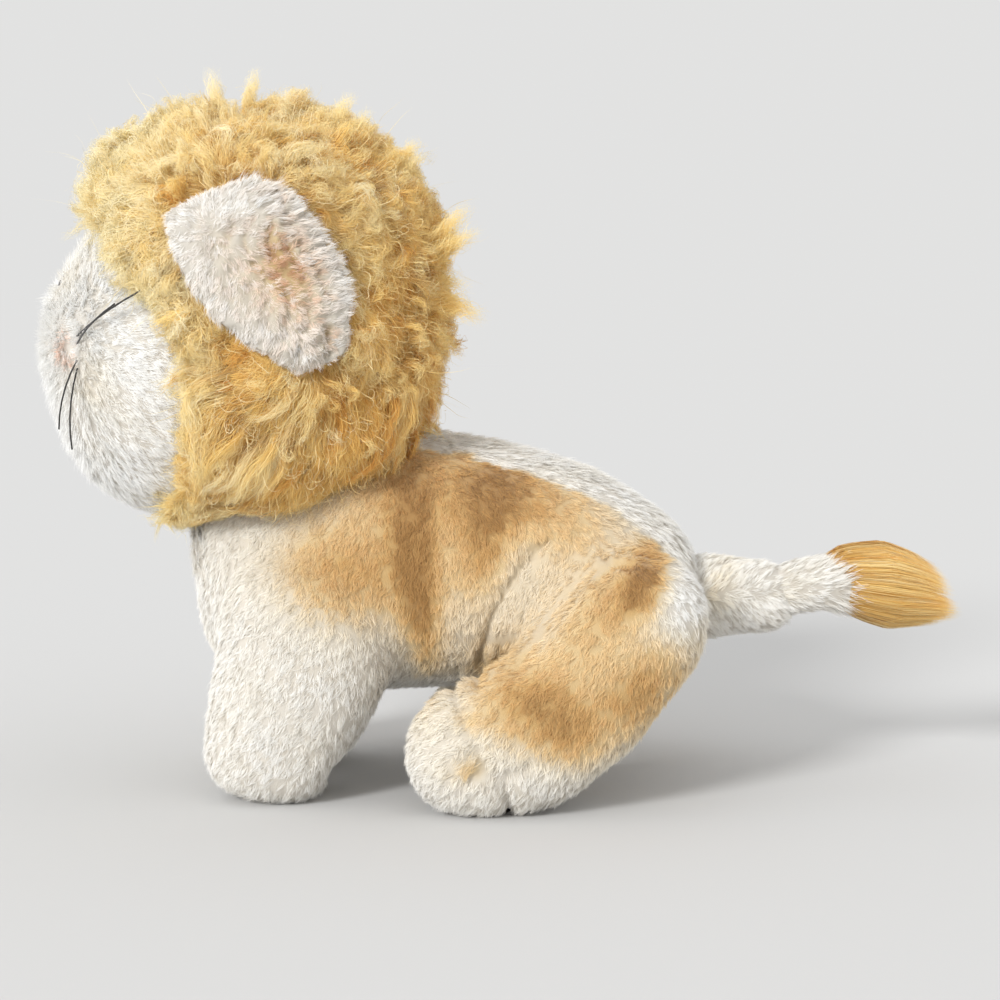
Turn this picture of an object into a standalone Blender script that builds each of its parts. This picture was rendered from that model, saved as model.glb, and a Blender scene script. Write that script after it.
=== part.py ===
"""A plush lion: short pile covers sewn round loose stuffing, a long pile mane and tail tuft, and floppy ears.

Metres, +Z up. The face looks along -X and the lion's left side is at -Y. The origin lies on the
surface that the paws stand on, under the middle of the lion's outer box.
"""

import math
from collections import namedtuple

import bmesh
import bpy
from mathutils import Matrix, Vector
from mathutils.bvhtree import BVHTree

# Cloth and sewing
PLUSH_THICKNESS = 0.0035
SEWING_GAP = 0.0003
CUT_OVERRUN = 0.05

# Body
CHEST = (-0.1290, 0.0, 0.0960)
RUMP = (0.0785, 0.0, 0.0740)
BODY_DEPTH = 0.1040
BODY_WIDTH = 0.1020
BACK_STRIP_WIDTH = 0.0400
SIDE_SEAM_HEIGHT = 0.0840
NECK_SEAM_INSET = 0.0130

# Front legs
SHOULDER = (-0.0785, 0.0340, 0.0980)
FRONT_PAW = (-0.0915, 0.0380, -0.0015)
FRONT_LEG_DEPTH = 0.0690
FRONT_LEG_WIDTH = 0.0530
FRONT_LEG_SQUARENESS = 2.3
FRONT_SOLE_HEIGHT = 0.0042

# Hind legs
HIP = (0.0640, 0.0480, 0.1000)
HIND_PAW = (-0.0380, 0.0670, 0.0230)
HIND_LEG_DEPTH = 0.0620
HIND_LEG_SQUARENESS = 2.4
HIND_LEG_WIDTH = 0.0500
HIND_SOLE_DEPTH = 0.0170

# Head and mane
MUZZLE = (-0.1825, 0.0, 0.1700)
NAPE = (-0.0300, 0.0, 0.1820)
HEAD_DEPTH = 0.1400
HEAD_WIDTH = 0.1360
FRINGE = (-0.1720, 0.0, 0.1880)
MANE_BACK = (-0.0240, 0.0, 0.1780)
MANE_DEPTH = 0.1630
MANE_WIDTH = 0.1540
MANE_SQUARENESS = 2.5
FACE_OPENING = (-0.1860, 0.0, 0.1580)
FACE_OPENING_REACH = 0.0800
FACE_OPENING_WIDTH = 0.2300
FACE_OPENING_HEIGHT = 0.1400

# Eyes, nose and whiskers
EYE_PLACE = (0.0, 0.0170, 0.1985)
EYE_RADIUS = 0.0055
EYE_DOME = 0.0028
EYE_EDGE = 0.0006
EYE_SINK = 0.0015
EYE_STEM_RADIUS = 0.0018
EYE_STEM_LENGTH = 0.0095
WASHER_RADIUS = 0.0060
WASHER_THICKNESS = 0.0012
NOSE_PLACE = 0.1800
NOSE_WIDTH = 0.0170
NOSE_HEIGHT = 0.0120
NOSE_DEPTH = 0.0070
WHISKER_PLACE = (-0.1620, 0.0, 0.1720)
WHISKER_SPREAD = 0.0060
WHISKER_LENGTH = 0.0420
WHISKER_RADIUS = 0.00035
WHISKER_CLEARANCE = 0.00080

# Ears
EAR_BASE = (-0.0620, 0.0, 0.1650)
EAR_TIP = (-0.1185, 0.0, 0.2305)
EAR_WIDTH = 0.0570
EAR_THICKNESS = 0.0120
EAR_DISH = 0.0020

# Tail
TAIL_PIVOT = (0.0775, 0.0, 0.0730)
TAIL_KINK = (0.1085, 0.0, 0.0770)
TAIL_END = (0.1490, 0.0, 0.0795)
TAIL_ROOT_WIDTH = 0.0310
TAIL_END_WIDTH = 0.0200
KINK_WIDTH = 0.0124
JOINT_CLEARANCE = 0.0005
TAIL_OPEN_END = 0.0080
TUFT_START = (0.1370, 0.0, 0.0800)
TUFT_TIP = (0.1745, 0.0, 0.0685)
TUFT_WIDTH = 0.0310

# The cages' divisions
RING_SIDES = 10
EAR_SIDES = 12
CAGE_FIT_ROUNDS = 6
BALL_SEGMENTS = 20
BALL_RINGS = 10
TURNED_STEPS = 16
WHISKER_POINTS = 6

# A form's rings turn with its bent spine by the turning share, from 0 for upright rings to 1.
Form = namedtuple("Form", "start end depth width squareness turning_share shares")

# Each row holds one ring of a form: its place along the form from start to end, its bend across the
# form as a share of the depth, and its own depth and width as shares of the form's.
BODY_SHARES = (
    (0.022, 0.000, 0.420, 0.330),
    (0.090, -0.055, 0.820, 0.700),
    (0.231, -0.040, 0.965, 0.930),
    (0.404, 0.018, 1.000, 0.980),
    (0.578, 0.037, 0.935, 0.960),
    (0.752, 0.020, 0.855, 1.000),
    (0.901, -0.015, 0.700, 0.860),
    (0.965, -0.032, 0.470, 0.510),
)
FRONT_LEG_SHARES = (
    (0.130, 0.020, 0.800, 0.780),
    (0.320, 0.075, 0.985, 0.960),
    (0.500, 0.070, 0.950, 1.000),
    (0.690, 0.020, 0.855, 0.985),
    (0.840, -0.002, 0.790, 0.940),
    (0.945, -0.006, 0.680, 0.820),
)
HIND_LEG_SHARES = (
    (0.134, 0.120, 0.800, 0.860),
    (0.340, 0.320, 1.000, 1.000),
    (0.565, 0.400, 0.970, 0.970),
    (0.745, 0.330, 0.900, 0.920),
    (0.865, 0.210, 0.810, 0.880),
    (0.960, 0.080, 0.560, 0.660),
)
HEAD_SHARES = (
    (0.026, 0.010, 0.260, 0.320),
    (0.090, -0.024, 0.550, 0.600),
    (0.160, -0.026, 0.735, 0.760),
    (0.260, -0.008, 0.890, 0.910),
    (0.450, 0.014, 1.000, 1.000),
    (0.650, 0.014, 0.985, 0.985),
    (0.840, 0.010, 0.820, 0.800),
    (0.950, 0.000, 0.500, 0.480),
)
MANE_SHARES = (
    (0.060, 0.008, 0.610, 0.560),
    (0.146, -0.040, 0.900, 0.790),
    (0.311, -0.018, 0.990, 0.950),
    (0.490, 0.009, 1.000, 1.000),
    (0.689, 0.021, 0.955, 0.965),
    (0.861, 0.007, 0.790, 0.755),
    (0.954, -0.009, 0.510, 0.470),
)
EAR_SHARES = (
    (0.100, 0.030, 0.560, 0.800),
    (0.300, 0.020, 0.880, 1.000),
    (0.550, 0.000, 1.000, 1.000),
    (0.780, -0.010, 0.900, 0.950),
    (0.930, -0.010, 0.600, 0.700),
)
TAIL_ROOT_SHARES = (
    (0.100, 0.000, 0.720, 0.720),
    (0.310, 0.000, 0.990, 0.990),
    (0.500, 0.000, 0.930, 0.930),
    (0.720, 0.000, 0.740, 0.740),
    (0.900, 0.000, 0.600, 0.600),
    (0.975, 0.000, 0.480, 0.480),
)
TAIL_END_SHARES = (
    (0.045, 0.000, 0.450, 0.450),
    (0.125, 0.000, 0.605, 0.605),
    (0.240, 0.000, 0.760, 0.760),
    (0.450, 0.020, 0.960, 0.960),
    (0.720, 0.020, 1.000, 1.000),
    (0.930, 0.000, 0.800, 0.800),
)
TUFT_SHARES = (
    (0.060, 0.000, 0.640, 0.640),
    (0.260, 0.020, 0.880, 0.880),
    (0.520, 0.080, 1.000, 1.000),
    (0.760, 0.070, 0.860, 0.860),
    (0.930, 0.020, 0.460, 0.460),
)
# A whisker's reach at its tip: sideways as a share of the way from its root out to the mane's widest
# place, and upwards and forwards as shares of its length
WHISKER_REACH_SHARES = {
    "upper_long": (0.77, 0.40, -0.66),
    "upper_short": (0.63, 0.36, -0.42),
    "lower_long": (0.58, -0.70, -0.02),
    "lower_short": (0.52, -0.60, 0.10),
}
WHISKER_DROOP_SHARE = 0.20
NOSE_CHIN_SHARE = 0.45
BALL_REACH_SHARE = 0.97

ROUND = 2.0
UPRIGHT_SHARE = 0.0
TURNED_SHARE = 1.0

SIDES = {"left": -1, "right": 1}


def clear_scene():
    for old in list(bpy.data.objects):
        bpy.data.objects.remove(old, do_unlink=True)
    for collection in list(bpy.data.collections):
        bpy.data.collections.remove(collection)


def new_collection(name, helper=False):
    collection = bpy.data.collections.new(name)
    collection.hide_render = helper
    bpy.context.scene.collection.children.link(collection)
    return collection


def new_material(name, colour, roughness, coat=0.0):
    material = bpy.data.materials.new(name)
    material.use_nodes = True
    shader = material.node_tree.nodes["Principled BSDF"]
    shader.inputs["Base Color"].default_value = (*colour, 1.0)
    shader.inputs["Roughness"].default_value = roughness
    shader.inputs["Metallic"].default_value = 0.0
    shader.inputs["Coat Weight"].default_value = coat
    material.diffuse_color = (*colour, 1.0)
    return material


clear_scene()
PARTS = new_collection("plush_lion")
CUTTERS = new_collection("cutters", helper=True)
CREAM_PLUSH = new_material("cream_plush", (0.80, 0.70, 0.56), 0.95)
TAN_PLUSH = new_material("tan_plush", (0.60, 0.38, 0.20), 0.95)
GOLD_PILE = new_material("gold_pile", (0.72, 0.43, 0.13), 0.90)
WADDING = new_material("wadding", (0.90, 0.90, 0.88), 1.00)
EYE_PLASTIC = new_material("eye_plastic", (0.06, 0.03, 0.015), 0.12, coat=1.0)
WASHER_PLASTIC = new_material("washer_plastic", (0.85, 0.85, 0.82), 0.45)
NOSE_FELT = new_material("nose_felt", (0.48, 0.20, 0.14), 0.90)
BLACK_THREAD = new_material("black_thread", (0.02, 0.02, 0.02), 0.50)


def on_side(point, side):
    """A point given for the right side, taken to the named side."""
    return (point[0], SIDES[side] * point[1], point[2])


def add_object(name, mesh, material=None, smooth=True):
    """Closes a bmesh into a named object: a part with its material, or a cutter without one."""
    data = bpy.data.meshes.new(name)
    mesh.normal_update()
    bmesh.ops.recalc_face_normals(mesh, faces=mesh.faces)
    mesh.to_mesh(data)
    mesh.free()
    if smooth:
        data.shade_smooth()
    made = bpy.data.objects.new(name, data)
    if material:
        data.materials.append(material)
        PARTS.objects.link(made)
    else:
        made.hide_render = True
        made.display_type = "WIRE"
        CUTTERS.objects.link(made)
    return made


def cut(piece, cutter, operation="DIFFERENCE"):
    boolean = piece.modifiers.new(cutter.name, "BOOLEAN")
    boolean.operation = operation
    boolean.object = cutter


def subdivide(piece):
    smoothing = piece.modifiers.new("roundness", "SUBSURF")
    smoothing.levels = 1
    smoothing.render_levels = 1


def mean(points):
    return sum(points, Vector()) / len(points)


def subdivided_place(vertex):
    """Where one level of Catmull-Clark subdivision takes a cage's point."""
    count = len(vertex.link_edges)
    faces = mean([face.calc_center_median() for face in vertex.link_faces])
    edges = mean([mean([end.co for end in edge.verts]) for edge in vertex.link_edges])
    return (faces + 2 * edges + (count - 3) * vertex.co) / count


def fit_cage(mesh):
    """Pushes the cage's points out until subdivision brings each of them back to its own place."""
    places = [vertex.co.copy() for vertex in mesh.verts]
    for _ in range(CAGE_FIT_ROUNDS):
        moved = [subdivided_place(vertex) for vertex in mesh.verts]
        for vertex, place, now in zip(mesh.verts, places, moved):
            vertex.co += place - now


def offset_points(mesh, distance):
    """Moves the surface outwards by the distance, or inwards by a negative one."""
    mesh.normal_update()
    moves = [vertex.normal * vertex.calc_shell_factor() * distance for vertex in mesh.verts]
    for vertex, move in zip(mesh.verts, moves):
        vertex.co += move


def ring_frames(form):
    """The centre, sideways and upward half sizes of each ring along a form's bent spine."""
    start, end = Vector(form.start), Vector(form.end)
    run = end - start
    across = Vector((-run.z, 0, run.x)).normalized()
    centres = [start + run * row[0] + across * row[1] * form.depth for row in form.shares]
    spine = [start, *centres, end]
    frames = []
    for index, row in enumerate(form.shares, start=1):
        bent = (spine[index + 1] - spine[index - 1]).normalized()
        tangent = run.normalized().lerp(bent, form.turning_share).normalized()
        upward = Vector((-tangent.z, 0, tangent.x)).normalized()
        sideways = upward.cross(tangent).normalized()
        half_depth, half_width = row[2] * form.depth / 2, row[3] * form.width / 2
        frames.append((spine[index], sideways * half_width, upward * half_depth))
    return frames


def rounded(value, squareness):
    return math.copysign(abs(value) ** (2 / squareness), value)


def ball_places(mesh, rings):
    """Each point of a unit ball, with its ring's number from the top and its angle round the ring."""
    for vertex in mesh.verts:
        ring = round(math.acos(max(-1.0, min(1.0, vertex.co.z))) / math.pi * rings)
        yield vertex, ring, math.atan2(vertex.co.y, vertex.co.x)


def form_cage(form, sides=RING_SIDES):
    """A ball whose rings are set along the form's spine, with a point at each end."""
    mesh = bmesh.new()
    rings = len(form.shares) + 1
    bmesh.ops.create_uvsphere(mesh, u_segments=sides, v_segments=rings, radius=1)
    frames = ring_frames(form)
    for vertex, ring, turn in list(ball_places(mesh, rings)):
        if ring == 0:
            vertex.co = Vector(form.start)
        elif ring == rings:
            vertex.co = Vector(form.end)
        else:
            centre, sideways, upward = frames[ring - 1]
            aside = rounded(math.cos(turn), form.squareness)
            above = rounded(math.sin(turn), form.squareness)
            vertex.co = centre + sideways * aside + upward * above
    mesh.normal_update()
    bmesh.ops.recalc_face_normals(mesh, faces=mesh.faces)
    return mesh


def add_form(name, form, material=None, offset=0.0):
    """The form's smooth outer shape, grown by the offset."""
    mesh = form_cage(form)
    offset_points(mesh, offset)
    fit_cage(mesh)
    made = add_object(name, mesh, material)
    subdivide(made)
    return made


def add_core(name, form, inset, material=None):
    """The form's inside, at the given depth under its surface."""
    mesh = form_cage(form)
    offset_points(mesh, -inset)
    bmesh.ops.triangulate(mesh, faces=mesh.faces, quad_method="FIXED")
    return add_object(name, mesh, material)


def add_block(name, low, high, material=None):
    mesh = bmesh.new()
    bmesh.ops.create_cube(mesh, size=1)
    low, high = Vector(low), Vector(high)
    stretch = Matrix.Diagonal((*(high - low), 1))
    bmesh.ops.transform(mesh, matrix=Matrix.Translation((low + high) / 2) @ stretch, verts=mesh.verts)
    return add_object(name, mesh, material, smooth=False)


def add_ball(name, centre, radii, material=None):
    mesh = bmesh.new()
    bmesh.ops.create_uvsphere(mesh, u_segments=BALL_SEGMENTS, v_segments=BALL_RINGS, radius=1)
    stretch = Matrix.Diagonal((*radii, 1))
    bmesh.ops.transform(mesh, matrix=Matrix.Translation(centre) @ stretch, verts=mesh.verts)
    return add_object(name, mesh, material)


def add_peg(name, place, direction, radius, low, high):
    """A round cutter along a direction, between two heights over its place."""
    mesh = bmesh.new()
    bmesh.ops.create_cone(
        mesh,
        cap_ends=True,
        segments=TURNED_STEPS,
        radius1=radius,
        radius2=radius,
        depth=high - low,
    )
    heading = Vector(direction).normalized()
    turn = heading.to_track_quat("Z", "Y").to_matrix().to_4x4()
    middle = Matrix.Translation(Vector(place) + heading * (low + high) / 2)
    bmesh.ops.transform(mesh, matrix=middle @ turn, verts=mesh.verts)
    return add_object(name, mesh, smooth=False)


def add_half_space(name, point, direction, shift=0.0):
    """A large block on the side of a plane that the direction points to."""
    mesh = bmesh.new()
    bmesh.ops.create_cube(mesh, size=1)
    reach = BODY_DEPTH
    heading = Vector(direction).normalized()
    turn = heading.to_track_quat("Z", "Y").to_matrix().to_4x4()
    place = Matrix.Translation(Vector(point) + heading * (shift + reach / 2))
    stretch = Matrix.Diagonal((2 * reach, 2 * reach, reach, 1))
    bmesh.ops.transform(mesh, matrix=place @ turn @ stretch, verts=mesh.verts)
    return add_object(name, mesh, smooth=False)


def turned(name, outline, place, direction, material=None):
    """Turns an outline of (radius, height) points, from its top to its bottom, round a placed axis."""
    data = bpy.data.meshes.new(name)
    points = [(radius, 0.0, height) for radius, height in outline]
    data.from_pydata(points, [(i, i + 1) for i in range(len(points) - 1)], [])
    made = bpy.data.objects.new(name, data)
    made.location = place
    made.rotation_euler = Vector(direction).to_track_quat("Z", "Y").to_euler()
    turning = made.modifiers.new("turning", "SCREW")
    turning.steps = TURNED_STEPS
    turning.render_steps = TURNED_STEPS
    turning.use_merge_vertices = True
    turning.merge_threshold = SEWING_GAP / 10
    turning.use_smooth_shade = material is not None
    if material:
        data.materials.append(material)
        PARTS.objects.link(made)
    else:
        made.hide_render = True
        made.display_type = "WIRE"
        CUTTERS.objects.link(made)
    return made


def surface_of(guide):
    """The evaluated surface of an object that stands unturned at the origin."""
    bpy.context.view_layer.update()
    return BVHTree.FromObject(guide, bpy.context.evaluated_depsgraph_get())


def hit(surface, origin, direction):
    """The point and the outward direction where a ray first meets a surface."""
    point, normal, _, _ = surface.ray_cast(Vector(origin), Vector(direction))
    return point, normal


def sewn_cover(name, form, material, within=(), without=()):
    """A plush cover as thick as the cloth, kept within some shapes and cut away by others."""
    cover = add_form(name, form, material)
    inside = add_core(name + "_inside", form, PLUSH_THICKNESS)
    cut(cover, inside)
    for shape in within:
        cut(cover, shape, "INTERSECT")
    for shape in without:
        cut(cover, shape)
    return cover


def stuffing(name, form, without=()):
    filling = add_core(name, form, PLUSH_THICKNESS + SEWING_GAP, WADDING)
    for shape in without:
        cut(filling, shape)
    return filling


BODY = Form(CHEST, RUMP, BODY_DEPTH, BODY_WIDTH, ROUND, UPRIGHT_SHARE, BODY_SHARES)
HEAD = Form(MUZZLE, NAPE, HEAD_DEPTH, HEAD_WIDTH, ROUND, UPRIGHT_SHARE, HEAD_SHARES)
MANE = Form(FRINGE, MANE_BACK, MANE_DEPTH, MANE_WIDTH, MANE_SQUARENESS, UPRIGHT_SHARE, MANE_SHARES)


def ball_start(pivot, heading, width):
    """The rounded end of a tail piece, behind its pivot."""
    return tuple(Vector(pivot) - Vector(heading).normalized() * width * BALL_REACH_SHARE / 2)


def make_body():
    """Two side panels, a back strip, a belly panel and the stuffing, open at the neck and the tail."""
    neck = add_core("neck_opening", HEAD, NECK_SEAM_INSET)
    tail_seat = add_ball("tail_seat", TAIL_PIVOT, [TAIL_ROOT_WIDTH / 2 + JOINT_CLEARANCE] * 3)
    far = CUT_OVERRUN + BODY_WIDTH
    ahead, behind = CHEST[0] - far, RUMP[0] + far
    under, over = SIDE_SEAM_HEIGHT - far, SIDE_SEAM_HEIGHT + far
    seam = BACK_STRIP_WIDTH / 2
    for side, sign in SIDES.items():
        inner, outer = sorted((sign * (seam + SEWING_GAP / 2), sign * far))
        half = add_block("body_half_" + side, (ahead, inner, under), (behind, outer, over))
        sewn_cover("body_side_" + side, BODY, CREAM_PLUSH, [half], [neck, tail_seat])
    edge = seam - SEWING_GAP / 2
    neck_middle = (SHOULDER[0] + CHEST[0]) / 2
    middle = add_block("body_middle", (ahead, -edge, under), (behind, edge, over))
    back = add_block("back_side", (neck_middle, -far, SIDE_SEAM_HEIGHT), (behind, far, over))
    belly = add_block(
        "belly_limit",
        (neck_middle - SEWING_GAP, -far, SIDE_SEAM_HEIGHT - SEWING_GAP),
        (behind + SEWING_GAP, far, over + SEWING_GAP),
    )
    sewn_cover("back_strip", BODY, CREAM_PLUSH, [middle, back], [neck, tail_seat])
    sewn_cover("belly_panel", BODY, CREAM_PLUSH, [middle], [belly, neck, tail_seat])
    stuffing("body_stuffing", BODY, [tail_seat])


def make_front_leg(side, floor, body_space):
    form = Form(
        on_side(SHOULDER, side),
        on_side(FRONT_PAW, side),
        FRONT_LEG_DEPTH,
        FRONT_LEG_WIDTH,
        FRONT_LEG_SQUARENESS,
        UPRIGHT_SHARE,
        FRONT_LEG_SHARES,
    )
    down = (0, 0, -1)
    seam = (FRONT_PAW[0], 0, FRONT_SOLE_HEIGHT)
    below = add_half_space("front_sole_seam_" + side, seam, down)
    above = add_half_space("front_leg_seam_" + side, seam, down, -SEWING_GAP)
    sewn_cover("front_leg_" + side, form, CREAM_PLUSH, [], [floor, body_space, above])
    sewn_cover("front_sole_" + side, form, CREAM_PLUSH, [below], [floor])
    stuffing("front_leg_stuffing_" + side, form, [body_space])


def make_hind_leg(side, floor, body_space):
    form = Form(
        on_side(HIP, side),
        on_side(HIND_PAW, side),
        HIND_LEG_DEPTH,
        HIND_LEG_WIDTH,
        HIND_LEG_SQUARENESS,
        TURNED_SHARE,
        HIND_LEG_SHARES,
    )
    heading = Vector((-1, 0, 0))
    seam = Vector(form.end) - heading * HIND_SOLE_DEPTH
    ahead = add_half_space("hind_sole_seam_" + side, seam, heading)
    behind = add_half_space("hind_leg_seam_" + side, seam, heading, -SEWING_GAP)
    sewn_cover("hind_leg_" + side, form, CREAM_PLUSH, [], [floor, body_space, behind])
    sewn_cover("hind_sole_" + side, form, TAN_PLUSH, [ahead], [floor])
    stuffing("hind_leg_stuffing_" + side, form, [body_space])


def opening_radii(change):
    reach, width, height = FACE_OPENING_REACH, FACE_OPENING_WIDTH / 2, FACE_OPENING_HEIGHT / 2
    return (reach + change, width + change, height + change)


def make_head(body_space, face_surface):
    """The face panel, the mane panel behind it and the head's stuffing, open at the neck."""
    face_side = add_ball("face_side", FACE_OPENING, opening_radii(-SEWING_GAP))
    mane_side = add_ball("mane_side", FACE_OPENING, opening_radii(0))
    inside = add_core("mane_inside", HEAD, PLUSH_THICKNESS)
    seats = [seat for side in SIDES for seat in make_eye(side, face_surface)]
    sewn_cover("face_panel", HEAD, CREAM_PLUSH, [face_side], [body_space, *seats])
    mane = add_form("mane", MANE, GOLD_PILE)
    cut(mane, inside)
    cut(mane, mane_side)
    cut(mane, body_space)
    stuffing("head_stuffing", HEAD, [body_space, *seats])


def make_eye(side, face_surface):
    """A domed eye on a stem, locked by a washer behind the face panel. Returns its seat's cutters."""
    aside, height = SIDES[side] * EYE_PLACE[1], EYE_PLACE[2]
    place, facing = hit(face_surface, (MUZZLE[0] - CUT_OVERRUN, aside, height), (1, 0, 0))
    facing.x, facing.z = -abs(facing.x), max(facing.z, 0)
    facing = facing.normalized()
    foot = place - facing * EYE_SINK
    dome = [
        (
            EYE_RADIUS * math.sin(turn * math.pi / 2 / (TURNED_STEPS // 2)),
            EYE_EDGE + EYE_DOME * math.cos(turn * math.pi / 2 / (TURNED_STEPS // 2)),
        )
        for turn in range(TURNED_STEPS // 2 + 1)
    ]
    stem_end = -EYE_STEM_LENGTH
    outline = [
        *dome,
        (EYE_RADIUS, 0.0),
        (EYE_STEM_RADIUS, 0.0),
        (EYE_STEM_RADIUS, stem_end),
        (0.0, stem_end),
    ]
    turned("eye_" + side, outline, foot, facing, EYE_PLASTIC)
    bore = EYE_STEM_RADIUS + SEWING_GAP
    washer_top = EYE_SINK - PLUSH_THICKNESS - 3 * SEWING_GAP
    washer_bottom = washer_top - WASHER_THICKNESS
    ring = [
        (bore, washer_top),
        (WASHER_RADIUS, washer_top),
        (WASHER_RADIUS, washer_bottom),
        (bore, washer_bottom),
        (bore, washer_top),
    ]
    turned("eye_washer_" + side, ring, foot, facing, WASHER_PLASTIC)
    bore_cutter = add_peg("eye_bore_" + side, foot, facing, bore, stem_end, CUT_OVERRUN)
    rim = EYE_RADIUS + SEWING_GAP
    rim_cutter = add_peg("eye_rim_" + side, foot, facing, rim, -SEWING_GAP, CUT_OVERRUN)
    pocket = WASHER_RADIUS + SEWING_GAP
    ends = (stem_end - SEWING_GAP, washer_top + SEWING_GAP)
    return [bore_cutter, rim_cutter, add_peg("washer_pocket_" + side, foot, facing, pocket, *ends)]


def make_nose(face_surface, face_space):
    """A flat felt nose, narrow at the chin side, seated on the muzzle."""
    place, _ = hit(face_surface, (MUZZLE[0] - CUT_OVERRUN, 0, NOSE_PLACE), (1, 0, 0))
    mesh = bmesh.new()
    bmesh.ops.create_uvsphere(mesh, u_segments=RING_SIDES, v_segments=RING_SIDES // 2 + 1, radius=1)
    half = Vector((NOSE_DEPTH, NOSE_WIDTH, NOSE_HEIGHT)) / 2
    for vertex in mesh.verts:
        low_share = (1 - vertex.co.z) / 2
        narrow_share = 1 - NOSE_CHIN_SHARE * low_share
        x, y, z = vertex.co
        vertex.co = place + Vector((x * half.x, y * half.y * narrow_share, z * half.z))
    nose = add_object("nose", mesh, NOSE_FELT)
    subdivide(nose)
    cut(nose, face_space)


def make_whiskers(side, face_surface):
    """Four stiff threads, which leave the cheek in an upper and a lower pair."""
    sign = SIDES[side]
    for name, (aside, upward, forward) in WHISKER_REACH_SHARES.items():
        spread = math.copysign(WHISKER_SPREAD, upward) * (1 if "long" in name else 1 / 2)
        start = (WHISKER_PLACE[0], sign * HEAD_WIDTH, WHISKER_PLACE[2] + spread)
        root, facing = hit(face_surface, start, (0, -sign, 0))
        root += facing * (WHISKER_RADIUS + SEWING_GAP)
        flare = sign * aside * (MANE_WIDTH / 2 - abs(root.y))
        tip = Vector((-forward * WHISKER_LENGTH, flare, upward * WHISKER_LENGTH))
        line = bpy.data.curves.new("whisker", "CURVE")
        line.dimensions = "3D"
        line.bevel_depth = WHISKER_RADIUS
        line.bevel_resolution = 1
        line.use_fill_caps = True
        thread = line.splines.new("POLY")
        thread.points.add(WHISKER_POINTS - 1)
        for index, point in enumerate(thread.points):
            share = index / (WHISKER_POINTS - 1)
            outward = facing * WHISKER_LENGTH * WHISKER_DROOP_SHARE * share * (1 - share)
            spot = root + tip * share + outward
            cheek, _ = hit(face_surface, (spot.x, sign * HEAD_WIDTH, spot.z), (0, -sign, 0))
            if cheek and index > 0:
                spot.y = sign * max(abs(spot.y), abs(cheek.y) + WHISKER_CLEARANCE)
            point.co = (*spot, 1)
        whisker = bpy.data.objects.new(f"whisker_{name}_{side}", line)
        line.materials.append(BLACK_THREAD)
        PARTS.objects.link(whisker)


def make_ear_layer(name, side, mane_surface, front):
    """One layer of an ear, laid along the mane's side, with its flat face against the other layer."""
    sign = SIDES[side]
    form = Form(
        EAR_BASE,
        EAR_TIP,
        EAR_WIDTH,
        EAR_THICKNESS,
        ROUND,
        UPRIGHT_SHARE,
        EAR_SHARES,
    )
    mesh = form_cage(form, EAR_SIDES)
    middle = (Vector(form.start) + Vector(form.end)) / 2
    for vertex in mesh.verts:
        x, lift, z = vertex.co
        inner, _ = hit(mane_surface, (x, sign * (MANE_WIDTH + CUT_OVERRUN), z), (0, -sign, 0))
        rim_share = min(1.0, (Vector((x, 0, z)) - middle).length / (EAR_WIDTH / 2))
        dish = EAR_DISH * (1 - rim_share**2)
        if front:
            height = SEWING_GAP * 2 + EAR_THICKNESS / 2 + max(lift, 0.0) - dish * (lift > 0)
        else:
            height = SEWING_GAP + EAR_THICKNESS / 2 + min(lift, 0.0)
        vertex.co = (x, inner.y + sign * height, z)
    layer = add_object(name + side, mesh, CREAM_PLUSH)
    subdivide(layer)
    return layer


def make_ears(mane_surface, mane_space):
    for side in SIDES:
        back = make_ear_layer("ear_back_", side, mane_surface, front=False)
        cut(back, mane_space)
        make_ear_layer("ear_front_", side, mane_surface, front=True)


def make_tail():
    """The root piece turns in the rump and the end piece turns in the root, each on its rounded end."""
    root_heading = Vector(TAIL_KINK) - Vector(TAIL_PIVOT)
    end_heading = Vector(TAIL_END) - Vector(TAIL_KINK)
    root_start = ball_start(TAIL_PIVOT, root_heading, TAIL_ROOT_WIDTH)
    end_start = ball_start(TAIL_KINK, end_heading, KINK_WIDTH)
    kink_seat = add_ball("kink_seat", TAIL_KINK, [KINK_WIDTH / 2 + JOINT_CLEARANCE] * 3)
    beyond_kink = add_half_space("beyond_kink", TAIL_KINK, root_heading, -JOINT_CLEARANCE * 3)
    root = Form(root_start, TAIL_KINK, TAIL_ROOT_WIDTH, TAIL_ROOT_WIDTH, ROUND, UPRIGHT_SHARE, TAIL_ROOT_SHARES)
    sewn_cover("tail_root", root, CREAM_PLUSH, [], [kink_seat, beyond_kink])
    stuffing("tail_root_stuffing", root, [kink_seat])
    end = Form(end_start, TAIL_END, TAIL_END_WIDTH, TAIL_END_WIDTH, ROUND, UPRIGHT_SHARE, TAIL_END_SHARES)
    open_end = add_half_space("tail_open_end", TAIL_END, end_heading, -TAIL_OPEN_END)
    sewn_cover("tail_end", end, CREAM_PLUSH, [], [open_end])
    stuffing("tail_end_stuffing", end, [])
    tuft_form = Form(TUFT_START, TUFT_TIP, TUFT_WIDTH, TUFT_WIDTH, ROUND, UPRIGHT_SHARE, TUFT_SHARES)
    tuft = add_form("tail_tuft", tuft_form, GOLD_PILE)
    cut(tuft, add_form("tail_end_space", end, offset=SEWING_GAP))


def outer_box():
    """The lowest and highest corners of all parts, as evaluated."""
    bpy.context.view_layer.update()
    graph = bpy.context.evaluated_depsgraph_get()
    points = []
    for part in PARTS.objects:
        if part.type == "EMPTY":
            continue
        evaluated = part.evaluated_get(graph)
        mesh = evaluated.to_mesh()
        points += [evaluated.matrix_world @ vertex.co for vertex in mesh.vertices]
        evaluated.to_mesh_clear()
    low = Vector(min(point[axis] for point in points) for axis in range(3))
    high = Vector(max(point[axis] for point in points) for axis in range(3))
    return low, high


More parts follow.
